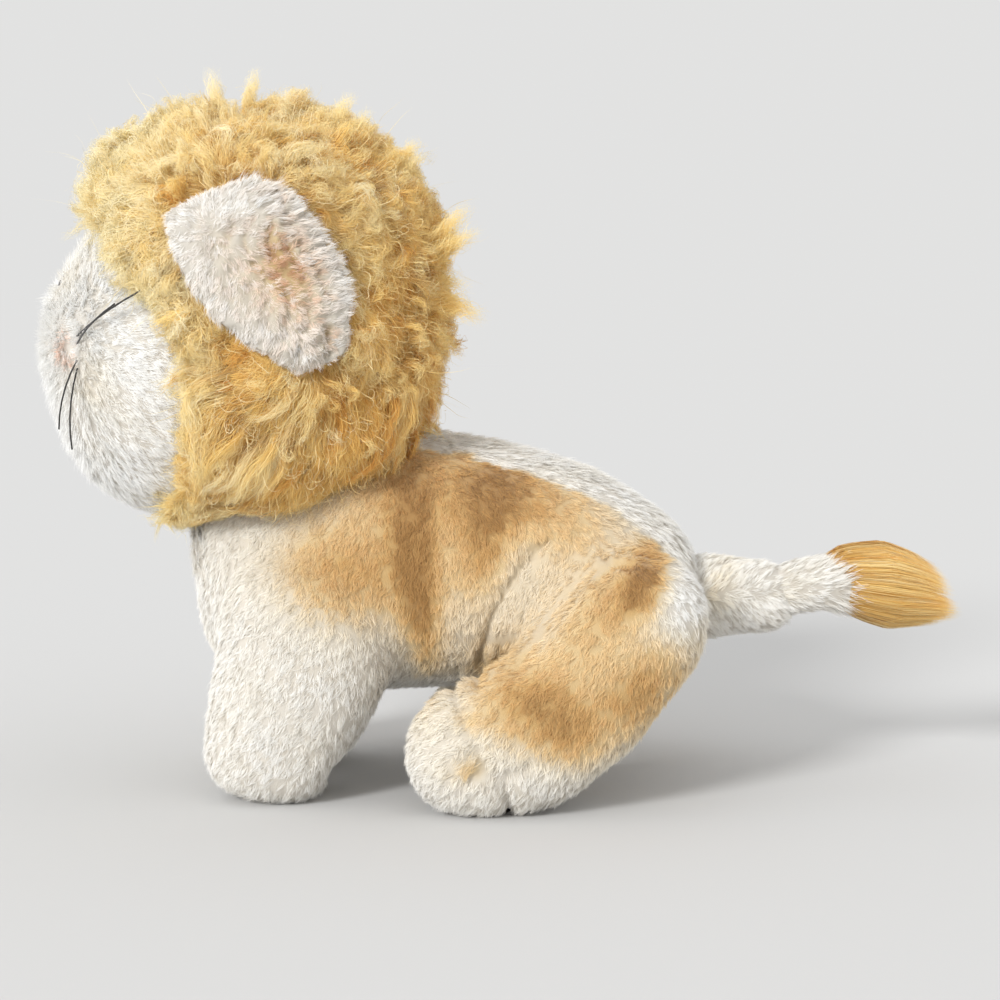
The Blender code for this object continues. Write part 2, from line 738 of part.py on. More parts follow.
def add_pivot(name, place, moving):
    """An empty on a joint's axis, which carries the pieces that move on it."""
    pivot = bpy.data.objects.new(name, None)
    pivot.location = place
    PARTS.objects.link(pivot)
    bpy.context.view_layer.update()
    for piece in moving:
        piece.parent = pivot
        piece.matrix_parent_inverse = pivot.matrix_world.inverted()
    return pivot


def carry_moving_pieces(mane_surface):
    pivots = []
    for side, sign in SIDES.items():
        start = (EAR_BASE[0], sign * (MANE_WIDTH + CUT_OVERRUN), EAR_BASE[2])
        hinge, _ = hit(mane_surface, start, (0, -sign, 0))
        layers = [PARTS.objects[name + side] for name in ("ear_front_", "ear_back_")]
        pivots.append(add_pivot("ear_pivot_" + side, hinge, layers))
    end_pieces = [PARTS.objects[name] for name in ("tail_end", "tail_end_stuffing", "tail_tuft")]
    kink = add_pivot("tail_kink_pivot", TAIL_KINK, end_pieces)
    root_pieces = [PARTS.objects[name] for name in ("tail_root", "tail_root_stuffing")]
    pivots.append(add_pivot("tail_pivot", TAIL_PIVOT, [*root_pieces, kink]))
    return pivots


def stand_over_origin():
    """Moves the whole lion so that its box stands centred over the origin."""
    low, high = outer_box()
    middle = (low + high) / 2
    stand = bpy.data.objects.new("lion", None)
    PARTS.objects.link(stand)
    for piece in [*PARTS.objects, *CUTTERS.objects]:
        if piece is not stand and piece.parent is None:
            piece.parent = stand
    stand.location = (-middle.x, -middle.y, -low.z)
    return stand


def main():
    floor_reach = BODY_WIDTH + CUT_OVERRUN
    floor = add_block(
        "floor",
        (CHEST[0] - floor_reach, -floor_reach, -floor_reach),
        (RUMP[0] + floor_reach, floor_reach, 0.0),
    )
    body_space = add_form("body_space", BODY, offset=SEWING_GAP)
    face_space = add_form("face_space", HEAD, offset=SEWING_GAP)
    mane_space = add_form("mane_space", MANE, offset=SEWING_GAP)
    face_surface = surface_of(add_form("face_guide", HEAD))
    mane_surface = surface_of(add_form("mane_guide", MANE))
    make_body()
    for side in SIDES:
        make_front_leg(side, floor, body_space)
        make_hind_leg(side, floor, body_space)
        make_whiskers(side, face_surface)
    make_head(body_space, face_surface)
    make_nose(face_surface, face_space)
    make_ears(mane_surface, mane_space)
    make_tail()
    carry_moving_pieces(mane_surface)
    stand_over_origin()


main()
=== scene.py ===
"""The looks of a plush lion: stuffed skins, combed short pile, a long curly mane, ears and a tail tuft.

Metres, +Z up. The face looks along -X and the lion's left side, which the camera sees, is at -Y.
"""

import math
from collections import namedtuple

import bmesh
import bpy
import numpy as np
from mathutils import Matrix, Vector
from mathutils.bvhtree import BVHTree


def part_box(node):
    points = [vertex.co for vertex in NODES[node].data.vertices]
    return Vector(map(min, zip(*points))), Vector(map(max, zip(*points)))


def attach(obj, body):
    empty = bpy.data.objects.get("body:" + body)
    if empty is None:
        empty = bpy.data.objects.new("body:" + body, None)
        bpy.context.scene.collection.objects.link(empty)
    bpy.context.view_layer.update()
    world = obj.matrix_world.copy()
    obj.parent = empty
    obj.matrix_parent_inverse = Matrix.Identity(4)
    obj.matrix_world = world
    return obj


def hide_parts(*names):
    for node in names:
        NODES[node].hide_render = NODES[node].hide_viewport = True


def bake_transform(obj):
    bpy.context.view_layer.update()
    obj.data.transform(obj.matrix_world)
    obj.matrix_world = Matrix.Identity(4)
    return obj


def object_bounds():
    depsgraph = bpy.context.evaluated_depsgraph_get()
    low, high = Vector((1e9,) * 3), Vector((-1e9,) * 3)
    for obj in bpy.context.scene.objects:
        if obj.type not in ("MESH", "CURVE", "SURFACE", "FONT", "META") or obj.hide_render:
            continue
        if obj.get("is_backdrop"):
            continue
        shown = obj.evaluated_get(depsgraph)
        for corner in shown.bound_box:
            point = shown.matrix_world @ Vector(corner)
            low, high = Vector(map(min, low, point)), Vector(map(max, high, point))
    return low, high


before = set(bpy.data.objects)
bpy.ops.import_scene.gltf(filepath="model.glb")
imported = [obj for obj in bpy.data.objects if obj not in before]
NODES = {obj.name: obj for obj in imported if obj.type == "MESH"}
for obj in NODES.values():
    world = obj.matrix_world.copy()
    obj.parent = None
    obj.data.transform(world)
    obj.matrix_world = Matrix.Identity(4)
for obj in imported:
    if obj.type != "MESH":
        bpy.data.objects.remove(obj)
CAD_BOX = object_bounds()
SIDES = {"left": -1, "right": 1}
QUICK_SHARE = 1.0
MILLIMETRE = 0.001
TINY = 1e-12

# Camera
CAMERA_TARGET = (0.0021, 0.0, 0.112)
CAMERA_DISTANCE = 0.900
CAMERA_RISE_DEGREES = 5.0
CAMERA_LENS_MM = 81.0
CAMERA_SENSOR_MM = 36.0

# Floor and light
FLOOR_SIZE = 12.0
FLOOR_SHADE = (0.60, 0.60, 0.596)
SKY_STRENGTH = 0.92
SUN_STRENGTH = 2.50
SUN_FROM = (-1.15, -1.7, 1.0)
SUN_WIDTH_DEGREES = 15.0

# How finely a skin is evened out, its rounds of smoothing and how far it swells
Surface = namedtuple("Surface", "voxel rounds swell")
BODY_SURFACE = Surface(0.0022, 36, 0.0012)
FACE_SURFACE = Surface(0.0022, 10, 0.0003)
MANE_SURFACE = Surface(0.0022, 10, 0.0)
EAR_SURFACE = Surface(0.0012, 6, 0.0003)
TAIL_SURFACE = Surface(0.0012, 14, 0.0014)
TUFT_SURFACE = Surface(0.0012, 6, -0.0008)
SMOOTH_SHARE = 0.5

# A skin's object, its points, their normals, its triangles and a search tree
Skin = namedtuple("Skin", "thing points normals triangles tree")

# Strands as rows: the places of their rings, the way each faces, its width, hue and painted shade at each
# ring
Strands = namedtuple("Strands", "paths facings widths hues lights")

# One kind of pile: tuft spacing, strands to a tuft, length, width, rise from the skin in degrees, pull
# of the strands towards their tuft's tip, and unevenness of length and direction, both as shares
Pile = namedtuple("Pile", "spacing strands length width rise pull_share uneven_share stray_share")
BODY_PILE = Pile(0.0021, 13, 0.0031, 0.00022, 30.0, 0.80, 0.22, 0.30)
STRIP_PILE = Pile(0.0022, 13, 0.0046, 0.00024, 27.0, 0.70, 0.18, 0.14)
FACE_PILE = Pile(0.0019, 14, 0.0035, 0.00023, 22.0, 0.50, 0.22, 0.26)
EAR_PILE = Pile(0.0018, 11, 0.0031, 0.00022, 27.0, 0.72, 0.24, 0.28)
TAIL_PILE = Pile(0.0019, 11, 0.0038, 0.00023, 24.0, 0.80, 0.16, 0.10)
UNDERCOAT = Pile(0.0017, 7, 0.0090, 0.00021, 26.0, 0.30, 0.30, 0.70)
STRAND_WIDTH = 0.00020
FLOOR_CLEARANCE = 0.0002
PIECE_TRIANGLES = 196_000


# Materials

# Colours by place from palest to darkest, in steps of 255
CREAM_HUES = (
    (0.0, 254, 254, 253),
    (0.2, 253, 248, 236),
    (0.48, 248, 226, 182),
    (0.75, 232, 197, 138),
    (1.0, 198, 158, 102),
)
EAR_HUES = (
    (0.0, 254, 254, 253),
    (0.2, 252, 244, 236),
    (0.48, 246, 222, 200),
    (0.75, 232, 196, 164),
    (1.0, 208, 166, 130),
)
PINK_HUES = ((0.0, 253, 234, 222), (1.0, 248, 214, 190))
GOLD_HUES = ((0.0, 255, 247, 214), (0.33, 255, 239, 184), (0.66, 253, 223, 143), (1.0, 236, 182, 92))
# Painted shade: what the depth within the pile multiplies them by, from the roots to the tips
CREAM_SHADES = ((0.0, 208, 201, 190), (0.6, 250, 249, 247), (1.0, 255, 255, 255))
GOLD_SHADES = ((0.0, 200, 164, 104), (0.6, 251, 244, 228), (1.0, 255, 255, 255))
EYE_BROWNS = ((0.35, 34, 20, 12), (0.75, 70, 42, 24))
WASHER_WHITES = ((0.3, 214, 214, 208), (0.7, 230, 230, 224))
NOSE_PINKS = ((0.3, 196, 128, 112), (0.7, 222, 160, 142))
THREAD_BLACKS = ((0.3, 18, 17, 17), (0.7, 52, 48, 46))
THROUGH_SHARE = 0.32
GOLD_THROUGH_SHARE = 0.34
# Painted shade on the backing under the pile, close to the shade of the strands' roots
BACKING_LIGHT_SHARE = 0.12
BACKING_BUMP_SCALE = 700.0
BACKING_BUMP_DEPTH = 0.001
FELT_BUMP_DEPTH = 0.0004
EYE_MOTTLE_SCALE = 900.0
FELT_SCALE = 2200.0
THREAD_SCALE = 3000.0


def linear(red, green, blue):
    """A colour given as it looks, in steps of 255, as the shader wants it."""
    steps = np.array((red, green, blue)) / 255
    return (*np.where(steps <= 0.04045, steps / 12.92, ((steps + 0.055) / 1.055) ** 2.4), 1.0)


def add_node(nodes, kind, **values):
    """A shader node with some of its inputs set."""
    node = nodes.new("ShaderNode" + kind)
    for socket, value in values.items():
        node.inputs[socket].default_value = value
    return node


def new_shader(name, roughness, sheen=0.0, specular=0.2, coat=0.0):
    material = bpy.data.materials.new(name)
    material.use_nodes = True
    nodes = material.node_tree.nodes
    shader = nodes["Principled BSDF"]
    shader.inputs["Roughness"].default_value = roughness
    shader.inputs["Specular IOR Level"].default_value = specular
    shader.inputs["Sheen Weight"].default_value = sheen
    shader.inputs["Sheen Roughness"].default_value = 0.5
    shader.inputs["Coat Weight"].default_value = coat
    return material, nodes, material.node_tree.links, shader


def add_ramp(nodes, stops):
    """A colour ramp from rows of a place and a colour."""
    ramp = add_node(nodes, "ValToRGB")
    elements = ramp.color_ramp.elements
    while len(elements) < len(stops):
        elements.new(0.5)
    for element, (place, *colour) in zip(elements, stops):
        element.position = place
        element.color = linear(*colour)
    return ramp


def add_noise_bump(nodes, links, shader, scale, detail, strength, depth):
    """Fine unevenness of the surface, whose noise the colour can follow too."""
    noise = add_node(nodes, "TexNoise", Scale=scale, Detail=detail)
    height = add_node(nodes, "Bump", Strength=strength, Distance=depth)
    links.new(noise.outputs["Fac"], height.inputs["Height"])
    links.new(height.outputs["Normal"], shader.inputs["Normal"])
    return noise


def pile_material(name, hues, shades, roughness=0.85, specular=0.2, through=0.0, bump=0.0):
    """Plush: the hue share picks the dye and the light share the painted shade, by depth within the pile.

    Thin strands let a share of the light through.
    """
    material, nodes, links, shader = new_shader(name, roughness, sheen=0.3, specular=specular)
    mix = add_node(nodes, "Mix")
    mix.data_type = "RGBA"
    mix.blend_type = "MULTIPLY"
    mix.inputs["Factor"].default_value = 1.0
    for attribute, stops, socket in (("hue_share", hues, "A"), ("light_share", shades, "B")):
        share = add_node(nodes, "Attribute")
        share.attribute_name = attribute
        ramp = add_ramp(nodes, stops)
        links.new(share.outputs["Fac"], ramp.inputs["Fac"])
        links.new(ramp.outputs["Color"], mix.inputs[socket])
    links.new(mix.outputs["Result"], shader.inputs["Base Color"])
    if through:
        thin = add_node(nodes, "BsdfTranslucent")
        both = add_node(nodes, "MixShader", Fac=through)
        links.new(mix.outputs["Result"], thin.inputs["Color"])
        links.new(shader.outputs["BSDF"], both.inputs[1])
        links.new(thin.outputs["BSDF"], both.inputs[2])
        links.new(both.outputs["Shader"], nodes["Material Output"].inputs["Surface"])
    if bump:
        add_noise_bump(nodes, links, shader, BACKING_BUMP_SCALE, 3.0, bump, BACKING_BUMP_DEPTH)
    return material


# A cloth's strands, its backing and their slot
Cloth = namedtuple("Cloth", "strands backing slot")
CREAM = Cloth(
    pile_material("cream_strands", CREAM_HUES, CREAM_SHADES, through=THROUGH_SHARE),
    pile_material("cream_backing", CREAM_HUES, CREAM_SHADES, bump=0.6),
    "cream_plush",
)
GOLD = Cloth(
    pile_material("gold_strands", GOLD_HUES, GOLD_SHADES, 0.6, 0.3, GOLD_THROUGH_SHARE),
    pile_material("gold_backing", GOLD_HUES, GOLD_SHADES, bump=0.8),
    "gold_pile",
)
EAR_STRANDS = pile_material("ear_strands", EAR_HUES, CREAM_SHADES, through=THROUGH_SHARE)
PINK_STRANDS = pile_material("pink_strands", PINK_HUES, CREAM_SHADES, through=THROUGH_SHARE)


# Helpers on arrays of rows


def unit(rows):
    return rows / (np.linalg.norm(rows, axis=-1, keepdims=True) + TINY)


def dots(a, b):
    return (a * b).sum(-1, keepdims=True)


def along_surface(direction, normals):
    """Directions laid down onto the surface with these normals."""
    return unit(direction - normals * dots(direction, normals))


def smoothstep(low, high, values):
    share = np.clip((values - low) / (high - low), 0, 1)
    return share * share * (3 - 2 * share)


def bell(away):
    """One at zero, falling softly away on both sides."""
    return np.exp(-(away**2))


def soft_spots(points, rows):
    """A sum of round soft spots in the side view: x, z and radius in millimetres, and height."""
    total = np.zeros(len(points))
    for x, z, radius, height in rows:
        away = ((points[:, (0, 2)] - np.array((x, z)) * MILLIMETRE) ** 2).sum(1)
        total += height * np.exp(-away / (radius * MILLIMETRE) ** 2)
    return total


def uneven(spread, count, random, low=0.5, high=1.5):
    """Random factors round one."""
    return np.clip(random.normal(1, spread, count), low, high)


def ragged(rows, spread, random):
    """Unit rows near the given ones."""
    return unit(rows + random.normal(0, spread, rows.shape))


def mottled(points, scale, random):
    """A soft random field from a few waves, from about -1 to 1."""
    field = np.zeros(len(points))
    for _ in range(8):
        wave = random.normal(0, 1, 3)
        wave = wave / np.linalg.norm(wave) * math.tau / scale
        field += np.sin(points @ wave + random.random() * math.tau)
    return field / 3


# Skins


def add_to_scene(name, data):
    thing = bpy.data.objects.new(name, data)
    bpy.context.scene.collection.objects.link(thing)
    return thing


def apply_modifier(thing, kind, **settings):
    """Gives an object the mesh that one modifier makes of it."""
    modifier = thing.modifiers.new("shape", kind)
    for setting, value in settings.items():
        setattr(modifier, setting, value)
    graph = bpy.context.evaluated_depsgraph_get()
    made = bpy.data.meshes.new_from_object(thing.evaluated_get(graph))
    old = thing.data
    thing.modifiers.clear()
    thing.data = made
    bpy.data.meshes.remove(old)


def rows_of(items, field, kind=np.float32, width=3):
    values = np.empty(len(items) * width, kind)
    items.foreach_get(field, values)
    return values.reshape(-1, width)


def points_of(mesh):
    return rows_of(mesh.vertices, "co").astype(float)


def normals_of(mesh):
    return rows_of(mesh.vertex_normals, "vector").astype(float)


def set_points(mesh, points):
    mesh.vertices.foreach_set("co", points.astype(np.float32).ravel())
    mesh.update()


def smoothed(mesh, rounds):
    """A mesh's points, each drawn towards its neighbours' mean."""
    values = points_of(mesh)
    edges = rows_of(mesh.edges, "vertices", np.int32, 2)
    ends = np.concatenate((edges[:, 0], edges[:, 1]))
    others = np.concatenate((edges[:, 1], edges[:, 0]))
    count = np.bincount(ends, minlength=len(values))[:, None]
    for _ in range(rounds):
        sums = [np.bincount(ends, values[others, axis], len(values)) for axis in range(3)]
        values = values + SMOOTH_SHARE * (np.stack(sums, 1) / count - values)
    return values


def reshaped(points, normals, rows):
    """Points pushed out or in round some places of the side view, where the surface turns away from it."""
    push = soft_spots(points, rows) * MILLIMETRE
    return points + normals * (push * (1 - normals[:, 1] ** 2))[:, None]


def make_skin(name, nodes, surface):
    """A smooth stuffed surface, closed and even, round some CAD nodes."""
    joined = bmesh.new()
    for node in nodes:
        joined.from_mesh(NODES[node].data)
    mesh = bpy.data.meshes.new(name)
    joined.to_mesh(mesh)
    joined.free()
    thing = add_to_scene(name, mesh)
    apply_modifier(thing, "REMESH", mode="VOXEL", voxel_size=surface.voxel)
    mesh = thing.data
    set_points(mesh, smoothed(mesh, surface.rounds))
    set_points(mesh, points_of(mesh) + normals_of(mesh) * surface.swell)
    mesh.shade_smooth()
    return thing


def paint(mesh, hues, lights):
    """Stores the two shares that the plush materials read, one value for each point."""
    for name, values in (("hue_share", hues), ("light_share", lights)):
        attribute = mesh.attributes.new(name, "FLOAT", "POINT")
        attribute.data.foreach_set("value", np.clip(values, 0, 1).astype(np.float32))


def ride(thing, body):
    """Ties a piece to its body, or hands it to a function of its own."""
    if callable(body):
        body(thing)
    else:
        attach(thing, body)


def finished_skin(thing, nodes, hues, light, cloth, body):
    """Paints a soft skin, ties it to its body in the place of its nodes and reads it."""
    mesh = thing.data
    paint(mesh, hues, np.full(len(hues), light))
    mesh.materials.append(cloth.backing)
    ride(thing, body)
    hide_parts(*nodes)
    mesh.calc_loop_triangles()
    triangles = rows_of(mesh.loop_triangles, "vertices", np.int32)
    points = points_of(mesh)
    tree = BVHTree.FromPolygons(points.tolist(), triangles.tolist())
    return Skin(thing, points, normals_of(mesh), triangles, tree)


def nearest_rows(skin, points):
    """The nearest place on a skin to each point, and the skin's smooth normal there."""
    find = skin.tree.find_nearest
    found = [find(point) for point in points.tolist()]
    places = np.array([row[0][:] for row in found])
    rows = np.array([row[2] for row in found])
    return places, unit(skin.normals[skin.triangles[rows]].mean(1))


# Within this reach of a skin its nearest normal tells which side a point is on, and beyond it rays do
SIDE_REACH = 0.0030
SIDE_RAYS = (Vector((0.1, 0.2, 1.0)), Vector((-0.2, 1.0, 0.3)), Vector((-1.0, -0.1, 0.2)))


def is_inside(tree, point):
    """Whether most of a few rays from a point leave the skin from within."""
    votes = 0
    for ray in SIDE_RAYS:
        _, normal, _, _ = tree.ray_cast(point, ray)
        votes += 1 if normal is not None and normal.dot(ray) > 0 else -1
    return votes > 0


def depth_inside(skin, points):
    """How far each point lies under a skin, negative outside it."""
    places, normals = nearest_rows(skin, points)
    away = places - points
    reach = np.linalg.norm(away, axis=1)
    inside = dots(away, normals)[:, 0] > 0
    for index in np.flatnonzero(reach > SIDE_REACH):
        inside[index] = is_inside(skin.tree, Vector(points[index]))
    return np.where(inside, reach, -reach)


def close_to(node, points, reach):
    """A share from one on a CAD node's surface down to zero at the reach."""
    mesh = NODES[node].data
    polygons = [tuple(polygon.vertices) for polygon in mesh.polygons]
    tree = BVHTree.FromPolygons([tuple(vertex.co) for vertex in mesh.vertices], polygons)
    away = np.array([tree.find_nearest(point)[3] for point in points.tolist()])
    return smoothstep(reach, reach / 2, away)


# Strands

TAPER_POWER = 1.5
SHADE_MAP_MARGIN_SHARE = 0.04
SHADE_MAP_WIDTH_SHARE = 0.004
# The short pile's spread of roots in tuft spacings, its bend, its tufts' pull and their painted shade by
# ring
ROOT_SPREAD_SHARE = 0.48
PILE_BEND_SHARE = 0.5
PULL_SHARES = (0.0, 0.35, 1.0)
PILE_LIGHT_SHARES = (0.35, 0.75, 0.95)
TUFT_LIGHT_SPREAD = 0.15
STRAND_LIGHT_SPREAD = 0.05
STRAND_HUE_SPREAD = 0.015
ROLL_SPREAD = 0.5


def scattered(skin, spacing, random):
    """Evenly random places on a skin, about one to each square of the spacing, with their normals."""
    corners = skin.points[skin.triangles]
    cross = np.cross(corners[:, 1] - corners[:, 0], corners[:, 2] - corners[:, 0])
    areas = np.linalg.norm(cross, axis=1) / 2
    count = int(areas.sum() / spacing**2 * QUICK_SHARE)
    picked = np.searchsorted(np.cumsum(areas), random.random(count) * areas.sum())
    picked = np.minimum(picked, len(areas) - 1)
    first, second = random.random((2, count, 1))
    over = first + second > 1
    first, second = np.where(over, 1 - first, first), np.where(over, 1 - second, second)
    shares = np.stack((1 - first - second, first, second), 1)
    places = (corners[picked] * shares).sum(1)
    normals = unit((skin.normals[skin.triangles[picked]] * shares).sum(1))
    return places, normals


def strand_paths(roots, normals, flows, lengths, rises, bend_share, rings):
    """Strands that leave the skin at their rise and bend down into the flow, as rows of ring places."""
    steps = rings - 1
    angles = rises[:, None] * (1 - bend_share * (np.arange(steps) + 0.5) / steps)
    forward = flows[:, None] * np.cos(angles)[..., None] + normals[:, None] * np.sin(angles)[..., None]
    moves = forward * (lengths / steps)[:, None, None]
    paths = np.concatenate((np.zeros((len(roots), 1, 3)), np.cumsum(moves, 1)), 1)
    return paths + roots[:, None]


def chosen(strands, rows):
    return Strands(*(values[rows] for values in strands))


def add_ribbons(name, strands, material, body, slot):
    """Pieces of thin tapering ribbons along the strands, each piece within the triangle limit."""
    count, rings = strands.paths.shape[:2]
    most = PIECE_TRIANGLES // (2 * rings - 3)
    parts = max(1, math.ceil(count / most))
    for index, rows in enumerate(np.array_split(np.arange(count), parts)):
        label = f"{name}_{index + 1}" if parts > 1 else name
        piece = add_to_scene(label, ribbon_mesh(label, chosen(strands, rows), material))
        ride(piece, body)


def ribbon_mesh(name, strands, material):
    paths = strands.paths
    count, rings = paths.shape[:2]
    per = 2 * rings - 1
    aside = unit(np.cross(np.gradient(paths, axis=1), strands.facings[:, None]))
    taper_share = 1 - np.linspace(0, 1, rings) ** TAPER_POWER
    half = strands.widths[:, None, None] * taper_share[None, :, None] / 2
    left, right = (paths - aside * half)[:, :-1], (paths + aside * half)[:, :-1]
    pairs = np.stack((left, right), 2).reshape(count, per - 1, 3)
    points = np.concatenate((pairs, paths[:, -1:]), 1)
    corners = [ring + step for ring in range(0, per - 3, 2) for step in (0, 1, 3, 2)]
    corners += [per - 3, per - 2, per - 1]
    loops = ((np.arange(count) * per)[:, None] + corners).ravel()
    loop_starts = ((np.arange(count) * len(corners))[:, None] + np.arange(rings - 1) * 4).ravel()
    mesh = bpy.data.meshes.new(name)
    mesh.vertices.add(count * per)
    mesh.vertices.foreach_set("co", points.astype(np.float32).ravel())
    mesh.loops.add(len(loops))
    mesh.loops.foreach_set("vertex_index", loops.astype(np.int32))
    mesh.polygons.add(len(loop_starts))
    mesh.polygons.foreach_set("loop_start", loop_starts.astype(np.int32))
    mesh.polygons.foreach_set("use_smooth", np.ones(len(loop_starts), bool))
    mesh.update(calc_edges=True)
    lights = np.concatenate((np.repeat(strands.lights[:, :-1], 2, axis=1), strands.lights[:, -1:]), 1)
    hues = np.repeat(strands.hues[:, None], per, axis=1)
    paint(mesh, hues.ravel(), lights.ravel())
    map_shades(mesh, hues, lights, loops)
    mesh.materials.append(material)
    return mesh


def map_shades(mesh, hues, lights, loops):
    """A texture map by hue and light, so that strands of one shade share one place on it."""
    spread = np.zeros(hues.shape[1])
    spread[0:-1:2] = -1
    spread[1:-1:2] = 1
    across = np.clip(hues, 0, 1) + spread * SHADE_MAP_WIDTH_SHARE
    places = np.stack((across.ravel(), np.clip(lights, 0, 1).ravel()), 1)
    places = SHADE_MAP_MARGIN_SHARE + places * (1 - 2 * SHADE_MAP_MARGIN_SHARE)
    layer = mesh.uv_layers.new(name="OFBake")
    layer.uv.foreach_set("vector", places[loops].astype(np.float32).ravel())


def add_short_pile(
    name,
    places,
    normals,
    flows,
    hues,
    pile,
    body,
    random,
    material=CREAM.strands,
    length_share=1.0,
    rise_share=1.0,
    lift=0.0,
):
    """Tufts of short strands that lean with the flow."""
    tufts = len(places)
    owner = np.repeat(np.arange(tufts), pile.strands)
    count = len(owner)
    side = unit(np.cross(normals, flows))
    tuft_flow = unit(flows + side * random.normal(0, pile.stray_share, (tufts, 1)))
    offset = random.normal(0, ROOT_SPREAD_SHARE * pile.spacing, (count, 2, 1))
    shift = flows[owner] * offset[:, 0] + side[owner] * offset[:, 1]
    flow = unit(tuft_flow[owner] + side[owner] * random.normal(0, pile.stray_share / 2, (count, 1)))
    tuft_length = pile.length * length_share * (1 + random.normal(0, pile.uneven_share / 2, tufts))
    lengths = tuft_length[owner] * uneven(pile.uneven_share, count, random, 0.4, 1.6)
    tuft_rise = pile.rise * rise_share * (1 + random.normal(0, pile.uneven_share / 2, tufts))
    rises = np.radians(tuft_rise[owner] * uneven(pile.uneven_share, count, random, 0.3, 1.8))
    paths = strand_paths(places[owner] + shift, normals[owner], flow, lengths, rises, PILE_BEND_SHARE, 3)
    pull = np.array(PULL_SHARES) * pile.pull_share
    paths = paths - shift[:, None] * pull[None, :, None]
    paths[..., 2] = np.maximum(paths[..., 2], FLOOR_CLEARANCE)
    facings = unit(normals[owner] + side[owner] * random.normal(0, ROLL_SPREAD, (count, 1)))
    widths = pile.width * uneven(0.2, count, random, 0.5, 1.6)
    tuft_light = random.normal(0, TUFT_LIGHT_SPREAD, tufts)
    # Painted shade by ring, darker at the roots and less so by the lift, with random tone from tuft to tuft
    base = np.array(PILE_LIGHT_SHARES) + (lift, lift / 2, 0)
    lights = base[None] + (tuft_light[owner] + random.normal(0, STRAND_LIGHT_SPREAD, count))[:, None]
    shades = hues[owner] + random.normal(0, STRAND_HUE_SPREAD, count)
    add_ribbons(name, Strands(paths, facings, widths, shades, lights), material, body, CREAM.slot)


# Dye and ways

# Airbrushed patches on the left side: place as x and z, half length, half width, turn in degrees, strength
BODY_SPRAY_AND_SHADE = (
    (-0.057, 0.087, 0.021, 0.015, -20.0, 0.48),
    (-0.050, 0.100, 0.030, 0.016, 0.0, 0.16),
    (-0.0290, 0.0850, 0.030, 0.0060, 95.0, 0.66),
    (-0.0330, 0.0920, 0.026, 0.0105, 96.0, 0.26),
    (-0.0120, 0.0930, 0.020, 0.0100, 88.0, 0.20),
    (0.0250, 0.0760, 0.046, 0.0300, 50.0, 0.13),
    # The next three patches, high on the flank under the mane, are airbrushed tan and also painted shade
    # under the mane
    (-0.028, 0.121, 0.036, 0.0170, -12.0, 0.46),
    (0.012, 0.119, 0.028, 0.0125, -28.0, 0.42),
    (-0.004, 0.120, 0.014, 0.0100, -20.0, 0.14),
    (-0.002, 0.103, 0.018, 0.0075, 82.0, 0.36),
    (0.020, 0.078, 0.030, 0.022, 55.0, 0.07),
    (0.0557, 0.0885, 0.0105, 0.0062, 62.0, 0.72),
    (0.0430, 0.0780, 0.016, 0.0095, 48.0, 0.34),
    (0.0590, 0.0540, 0.018, 0.0115, 40.0, 0.46),
    (0.0510, 0.0420, 0.014, 0.0120, 30.0, 0.26),
    (0.0290, 0.0590, 0.014, 0.0100, 20.0, 0.14),
    (0.0170, 0.0420, 0.021, 0.0125, -20.0, 0.62),
    (0.0300, 0.029, 0.010, 0.008, -30.0, 0.20),
    (-0.0071, 0.0211, 0.004, 0.004, 0.0, 0.26),
    (-0.0089, 0.0379, 0.005, 0.003, 0.0, 0.18),
    (-0.0126, 0.0192, 0.006, 0.004, 0.0, 0.14),
    (0.0700, 0.0780, 0.016, 0.0070, 75.0, -0.20),
)
SPRAY_SOFTNESS = 1.3
BASE_HUE_SHARE = 0.04

# How the pile lies on the left side: x and z in millimetres, and degrees up from +X
BODY_WAYS = (
    (-105, 95, 255),
    (-95, 72, 240),
    (-88, 42, 238),
    (-73, 19, 235),
    (-58, 65, 245),
    (-61, 95, 250),
    (-26, 95, 262),
    (-26, 65, 265),
    (2, 125, 285),
    (25, 110, 290),
    (-2, 80, 262),
    (25, 80, 240),
    (13, 57, 232),
    (47, 80, 262),
    (40, 57, 240),
    (55, 46, 250),
    (66, 80, 285),
    (73, 95, 300),
    (-20, 26, 215),
    (-9, 7, 240),
    (17, 19, 245),
    (32, 11, 250),
    (2, 140, 335),
    (39, 125, 325),
    (58, 110, 315),
)
BODY_WAY_REACH = 0.008
MANE_WAYS = (
    (-148, 229, 150),
    (-147, 208, 285),
    (-126, 192, 285),
    (-118, 170, 268),
    (-116, 140, 262),
    (-119, 113, 248),
    (-99, 126, 235),
    (-75, 116, 240),
    (-53, 118, 252),
    (-33, 129, 265),
    (-25, 159, 278),
    (-85, 157, 205),
    (-102, 164, 192),
    (-71, 151, 235),
    (-57, 153, 288),
    (-45, 140, 268),
    (-38, 179, 282),
    (-24, 192, 325),
    (-11, 184, 345),
    (-19, 220, 40),
    (-32, 244, 48),
    (-53, 263, 55),
    (-73, 259, 65),
    (-91, 270, 80),
    (-107, 270, 100),
    (-119, 251, 122),
    (-139, 242, 140),
    (-109, 235, 165),
    (-92, 240, 30),
    (-71, 239, 5),
    (-49, 221, 335),
    (-42, 202, 300),
    (-129, 224, 200),
)
MANE_WAY_REACH = 0.007

